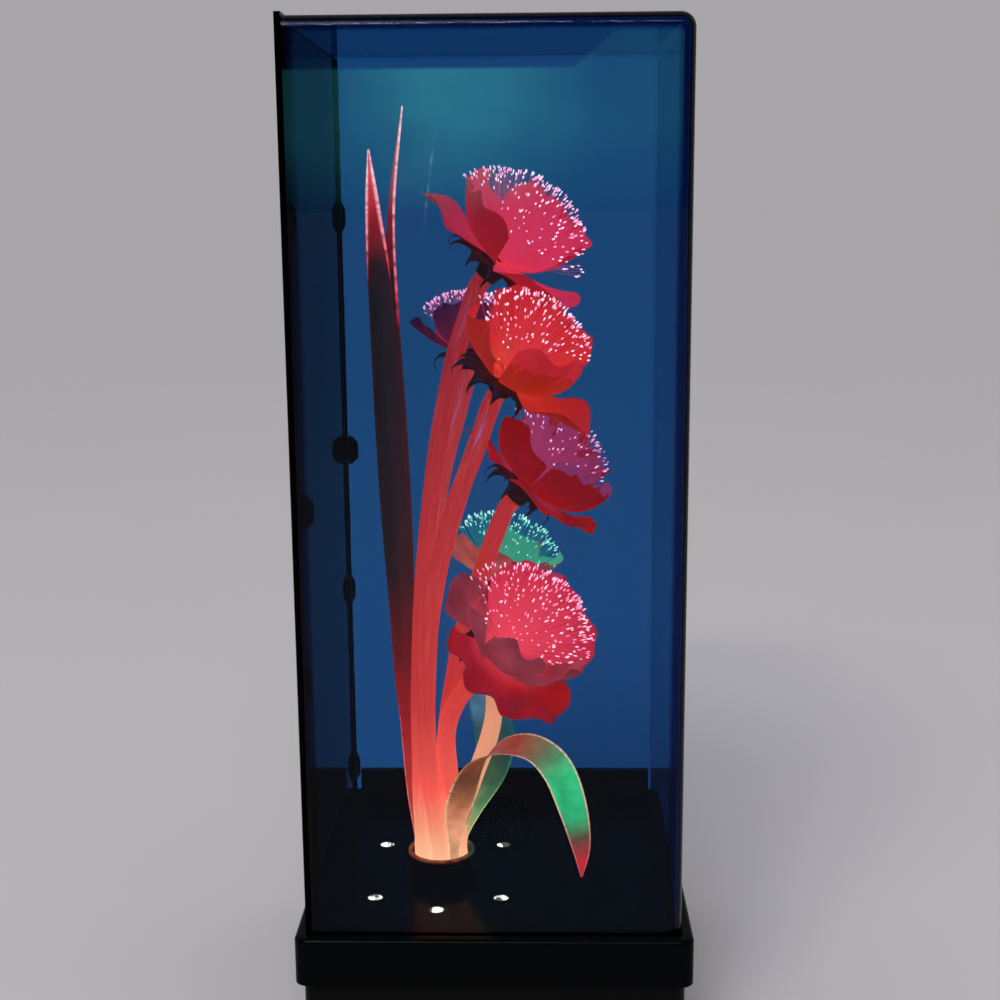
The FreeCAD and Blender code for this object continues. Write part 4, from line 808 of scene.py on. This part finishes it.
def make_fibres(name, strand, bright, dim, count):
    """Strands that fan out from the cup, each ending in a bright cut end."""
    length = FLOWERS[name][2]
    limit = radians(FLOWERS[name][3])
    at = placed(name)
    rng = Random("fibres " + name)
    golden = pi * (3 - sqrt(5))
    shell = Shell()
    for i in range(count):
        share = (i + 0.5) / count
        opening = acos(1 - share * (1 - cos(limit)))
        opening = min(limit, max(0, opening + rng.gauss(0, 0.05)))
        spin = i * golden + rng.gauss(0, 0.12)
        if opening > radians(fibre_limit(name, spin)):
            continue
        reach = length * (0.99 + rng.uniform(-0.03, 0.01))
        tip_length = rng.uniform(1.1, 2.8)
        head = polar(opening, spin)
        base = Vector((head.x, head.y, 0)) * 2
        bow = rng.uniform(-0.07, 0.07)
        line = []
        for step in (0, 0.3, 0.65, 1):
            bent = polar(min(limit, opening + bow * step * (1 - step) * 4), spin)
            line.append(at(base * (1 - step) + bent * (reach - tip_length) * step))
        sweep(shell, line, [FIBRE_R * MM] * 4, 4, capped=False)
        kind = 1 if rng.random() < 0.5 else 2
        size = TIP_R * rng.uniform(0.7, 1.15) * MM
        line = [at(head * (reach - tip_length * s)) for s in (1, 0.6, 0.15, 0)]
        sweep(shell, line, [FIBRE_R * MM, size, size, 0.55 * size], 6, kind)
    spray = shell.piece("fibres_" + name, [strand, bright, dim])
    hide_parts("spray_" + name)


def petal_surface(spec, length, rng):
    """One petal as a function of across (-1 to 1) and along (0 to 1), round the fan's point."""
    centre, half_width, middle, rim, reach, pointed = spec[:6]
    ruffle = rng.uniform(3, 5.5)
    waves = rng.uniform(1.2, 2)
    phase = rng.uniform(0, 2 * pi)
    scallop = rng.uniform(0, 2 * pi)

    def at(across, along):
        opening = (1 - along) ** 2 * 92 + 2 * along * (1 - along) * middle + along ** 2 * rim
        edge = abs(across)
        opening += ruffle * along ** 2.5 * sin(pi * waves * across + phase)
        opening += 5 * along * edge ** 2
        round_cut = 0.17 * edge ** 3 + 0.02 * sin(9 * across + scallop)
        cut = (1 - pointed) * round_cut + pointed * 0.42 * edge
        radius = PETAL_FOOT_R + (length * reach * (1 - cut * along) - PETAL_FOOT_R) * along
        turn = radians(centre + half_width * (1.12 - 0.12 * along) * across)
        return polar(radians(opening), turn) * radius - UP * (1.2 * (1 - along))
    return at


def make_petals(name, inner, outer, slot):
    """Lobes of thin silk, each with an inner and an outer face and closed edges."""
    length = FLOWERS[name][2]
    at_flower = placed(name)
    rng = Random("petals " + name)
    shell = Shell()
    last_across, last_along = PETAL_STEPS
    for number, spec in enumerate(petal_rows(name)):
        at = petal_surface(spec, length, rng)
        lift = PETAL_LIFT * (number % 2)
        front, back, marks = [], [], []
        for i in range(last_along + 1):
            along = i / last_along
            half = 0.5 * PETAL_T * (1 - 0.6 * along)
            for rows in (front, back, marks):
                rows.append([])
            for j in range(last_across + 1):
                across = 2 * j / last_across - 1
                du = at(across + NUDGE, along) - at(across - NUDGE, along)
                dv = at(across, along + NUDGE) - at(across, max(along - NUDGE, 0))
                normal = du.cross(dv).normalized()
                if normal.z < 0:
                    normal.negate()
                here = at(across, along) + normal * lift
                front[i].append(at_flower(here + normal * half))
                back[i].append(at_flower(here - normal * half))
                marks[i].append((j / last_across, along))
        shell.grid(front, marks, 0)
        shell.grid(back, marks, 1, flip=True)
        for edge in (0, last_across):
            strip = [[f[edge], b[edge]] for f, b in zip(front, back)]
            shell.grid(strip, [[m[edge]] * 2 for m in marks], 1, flip=edge == 0)
        for end in (0, last_along):
            strip = [[f, b] for f, b in zip(front[end], back[end])]
            shell.grid(strip, [[m] * 2 for m in marks[end]], 1, flip=end != 0)
        added = len(shell.points) - len(shell.shades)
        shell.shades += [float(spec[6])] * added
        shell.seconds += [float(spec[7])] * added
    petals = shell.piece("petals_of_" + name, [inner, outer], weld=1e-6)
    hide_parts("petals_" + name)


def add_cup(shell, at):
    """A ribbed cup, round the flower's axis."""
    rows, marks = [], []
    for i, (radius, z) in enumerate(CUP_PROFILE):
        row = []
        for j in range(CUP_SIDES):
            spin = 2 * pi * j / CUP_SIDES
            round_r = radius + (0.25 * cos(10 * spin) if 2 < i < 7 else 0)
            row.append(at(Vector((round_r * cos(spin), round_r * sin(spin), z))))
        rows.append(row)
        marks.append([(j / CUP_SIDES, i / (len(CUP_PROFILE) - 1)) for j in range(CUP_SIDES)])
    shell.grid(rows, marks, wrap=1)


def add_sepal(shell, at, direction, share, rng):
    """A sepal that curls down into a hook."""
    spin = radians(direction + rng.uniform(-4, 4))
    reach = rng.uniform(0.94, 1.02) * share
    curl = rng.uniform(0.9, 1.25)
    # distance from the axis, height and half width along it
    profile = ((6.8, -6.5, 3.8), (9.6, -3.8, 6.4), (13 * reach, -3, 7.4),
               (17 * reach, -3.4, 6), (20 * reach, -5.2, 2.8),
               (21.8 * reach, -8.6 * curl, 1), (20.6 * reach, -12.4 * curl, 0.35))
    route = through([Vector((r, 0, z)) for r, z, _ in profile], 4)
    half_widths = through([w for *_, w in profile], 4)
    spun = Matrix.Rotation(spin, 3, "Z")
    rows, marks = [], []
    for i, (p, wide) in enumerate(zip(route, half_widths)):
        s = i / (len(route) - 1)
        normal = heading(route, i).cross(Vector((0, 1, 0)))
        ring = []
        for a, b in SEPAL_RING:
            dish = 0.12 * wide * a * a
            offset = Vector((0, a * wide, 0)) + normal * (b * 0.55 * (1 - 0.5 * s) - dish)
            ring.append(at(spun @ (p + offset)))
        rows.append(ring)
        marks.append([(j / len(ring), 0.6 * (1 - s)) for j in range(len(ring))])
    shell.tube(rows, marks, ends=(0.5, 0))


def make_cups(material):
    shell = Shell()
    for name in FLOWERS:
        at = placed(name)
        rng = Random("cup " + name)
        add_cup(shell, at)
        for direction, share in SEPALS[name]:
            add_sepal(shell, at, direction, share, rng)
    cups = shell.piece("flower_cups", [material])
    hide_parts("calyces")


def make_leaf(name, material, slot):
    """A folded blade through its stations, with its foot in the collar."""
    angle, height, fold, route = LEAVES[name]
    turn = radians(angle)
    root = seat(LEAF_SEAT_R, angle)
    tangent = Vector((-sin(turn), cos(turn), 0))
    if tangent.dot(Vector(route[0][4])) < 0:
        tangent.negate()
    points = [root, root + UP * (COLLAR_RIM * MM)]
    points += [over_deck(x, y, z * height) for x, y, z, _, _ in route]
    sides = [tangent, tangent] + [Vector(side).normalized() for *_, side in route]
    widths = [LEAF_ROOT_W * MM] * 2 + [width * MM for _, _, _, width, _ in route]
    line, across, wide = [through(values, LINE_STEPS) for values in (points, sides, widths)]
    lengths = [0]
    for a, b in zip(line, line[1:]):
        lengths.append(lengths[-1] + (b - a).length)
    stations = [j / 6 - 1 for j in range(13)]
    ring_shape = [(a, 1) for a in stations] + [(a, -1) for a in reversed(stations)]
    rows, marks = [], []
    for i, point in enumerate(line):
        run = heading(line, i)
        side = (across[i] - run * across[i].dot(run)).normalized()
        face = run.cross(side)
        width = max(wide[i], LEAF_MIN_W * MM)
        ring = []
        for a, b in ring_shape:
            dish = fold * width * (abs(a) ** 1.3 - 0.5)
            thick = 0.5 * LEAF_T * MM * (1 - 0.75 * abs(a) ** 3)
            ring.append(point + side * (a * width / 2) + face * (dish + b * thick))
        rows.append(ring)
        marks.append([((a + 1) / 2, lengths[i] / lengths[-1]) for a, _ in ring_shape])
    shell = Shell()
    shell.tube(rows, marks, wrap=0)
    leaf = shell.piece("blade_" + name, [material])
    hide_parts(name)


def make_bouquet():
    make_cups(cup_plastic())
    for name, (sleeve_look, (*look, slot), fibre_look) in FLOWER_LOOKS.items():
        make_stem(name, sleeve("sleeve_" + name, *sleeve_look))
        near, far, bright, dim, count = fibre_look
        make_fibres(name, fibre("strand_" + name, near, far),
                    tip("tip_bright_" + name, bright, far), tip("tip_dim_" + name, dim, near),
                    count)
        rest = (SILK_DYES[slot], SECOND_LOOKS.get(name, SECOND_LOOK))
        make_petals(name, silk("silk_inside_" + name, *look[:4], *rest),
                    silk("silk_outside_" + name, *look[4:], *rest), slot)
    for name, (slot, label, *look) in LEAF_LOOKS.items():
        make_leaf(name, leaf_material(label, *look), slot)


def make_joint_film():
    """Dark film in the joints between the left panel and the moulded shell, of uneven width."""
    wall, low, high = 92, DECK + 0.2, 519.6
    # start and end of each joint, direction across it and its width
    joints = [((-wall, y, low), (-wall, y, high), (1, 0, 0), wide)
              for y, wide in ((wall - 0.02, 1.7), (0.02 - wall, 1.4))]
    joints.append(((0.02 - wall, -wall, high), (0.02 - wall, wall, high), (0, 0, -1), 1.5))
    rng = Random("film")
    shell = Shell()
    for start, end, across, wide in joints:
        rows, marks = [], []
        for i in range(FILM_STEPS + 1):
            share = i / FILM_STEPS
            foot = Vector(start).lerp(Vector(end), share)
            side = Vector(across) * wide * rng.uniform(0.9, 1.08)
            rows.append([(foot + side * part) * MM for part in (0, 0.5, 1)])
            marks.append([(part, share) for part in (0, 0.5, 1)])
        shell.grid(rows, marks)
    look = moulded_plastic("joint_film", (0.001, 0.002, 0.006), 0.5)
    film = shell.piece("joint_film", [look], "case")
    thicken = film.modifiers.new("thickness", "SOLIDIFY")
    thicken.thickness = FILM_T * MM
    thicken.offset = 0


# ---- CAD nodes' finishes
def dress(material, *names):
    for name in names:
        slots = NODES[name].data.materials
        slots.clear()
        slots.append(material)


def dress_frame():
    dress(case_acrylic("case_acrylic", PANE, GLASS_IOR, PAINTED_GLOW_SHARE), "case_shell")
    dress(case_acrylic("panel_acrylic", LEFT_PANE, LEFT_IOR), "left_panel")
    dress(deck_plastic(), "deck_tray")
    dress(collar_plastic(), "collar")
    for names, *look in PLASTICS:
        dress(moulded_plastic(*look), *names.split())
    for names, *look in METALS:
        dress(metal(*look), *names.split())
    dress(striped("core_steel", (0.3, 0.3, 0.31), (0.06, 0.05, 0.05), 160, "Y", 0.45, 0.9),
          "transformer_core")
    dress(striped("coil_wrap", (0.72, 0.55, 0.12), (0.35, 0.25, 0.05), 90, "Z", 0.35),
          "transformer_coil")
    dress(bundle_face(), "fibre_bundle")
    dress(lamp_glass(), "halogen_capsule")
    for name, colour in FILTERS.items():
        dress(coloured_gel(name, colour), name)


# ---- stage, light and camera
def make_stage():
    g = Graph("floor")
    cloud = g.span(g.noise(3), 0.3, 0.7)
    look = g.finish(g.blend(cloud, FLOOR, toned(FLOOR, 0.985)), 0.9, specular_ior_level=0)
    mesh = bpy.data.meshes.new("floor")
    mesh.from_pydata([(x * FLOOR_REACH, y * FLOOR_REACH, 0)
                      for x, y in ((-1, -1), (1, -1), (1, 1), (-1, 1))], [], [(0, 1, 2, 3)])
    mesh.materials.append(look)
    floor = put("floor", mesh)


def make_world():
    """Even light from all round. The eye sees the far floor's shade, also through glass; gloss
    mirrors a dim room on the camera's side and that shade behind."""
    world = bpy.data.worlds.new("world")
    bpy.context.scene.world = world
    g = Graph(world)
    path = g.add("LightPath").outputs
    seen = g.math("MAXIMUM", path["Is Camera Ray"], path["Is Transmission Ray"])
    depth = g.xyz(g.add("TexCoord").outputs["Generated"])[1]
    mirrored = g.blend(g.span(depth, -0.25, 0.15), DIM_ROOM, FAR_FLOOR)
    other = g.blend(path["Is Glossy Ray"], AMBIENT, mirrored)
    colour = g.blend(seen, other, FAR_FLOOR)
    g.add("OutputWorld", {"Surface": g.add("Background", {"Color": colour})})


def make_lights():
    """A broad soft key from above, and a long strip light in front, high on the left."""
    data = bpy.data.lights.new("key", "SUN")
    data.energy = SUN
    data.angle = radians(30)
    put("key", data).rotation_euler = (radians(38), radians(-18), 0)
    for name, watts, wide, high, x in STRIPS:
        data = bpy.data.lights.new(name, "AREA")
        data.shape = "RECTANGLE"
        data.size, data.size_y = wide, high
        data.energy = watts
        lamp = put(name, data)
        lamp.location = (x, *STRIP_PLACE)
        aim = Vector((0, 0, 0.4)) - lamp.location
        lamp.rotation_euler = aim.to_track_quat("-Z", "Y").to_euler()


def make_camera():
    data = bpy.data.cameras.new("camera")
    data.lens = LENS
    data.sensor_width = 36
    data.clip_start = 0.01
    data.clip_end = 200
    level = Vector(GAZE).to_track_quat("-Z", "Y").to_matrix()
    turn = level @ Matrix.Rotation(-radians(ROLL), 3, "Z")
    camera = put("camera", data)
    camera.matrix_world = Matrix.Translation(EYE) @ turn.to_4x4()
    bpy.context.scene.camera = camera


bpy.context.scene.view_settings.view_transform = "Standard"
make_camera()
make_stage()
make_world()
make_lights()
dress_frame()
make_bouquet()
make_joint_film()
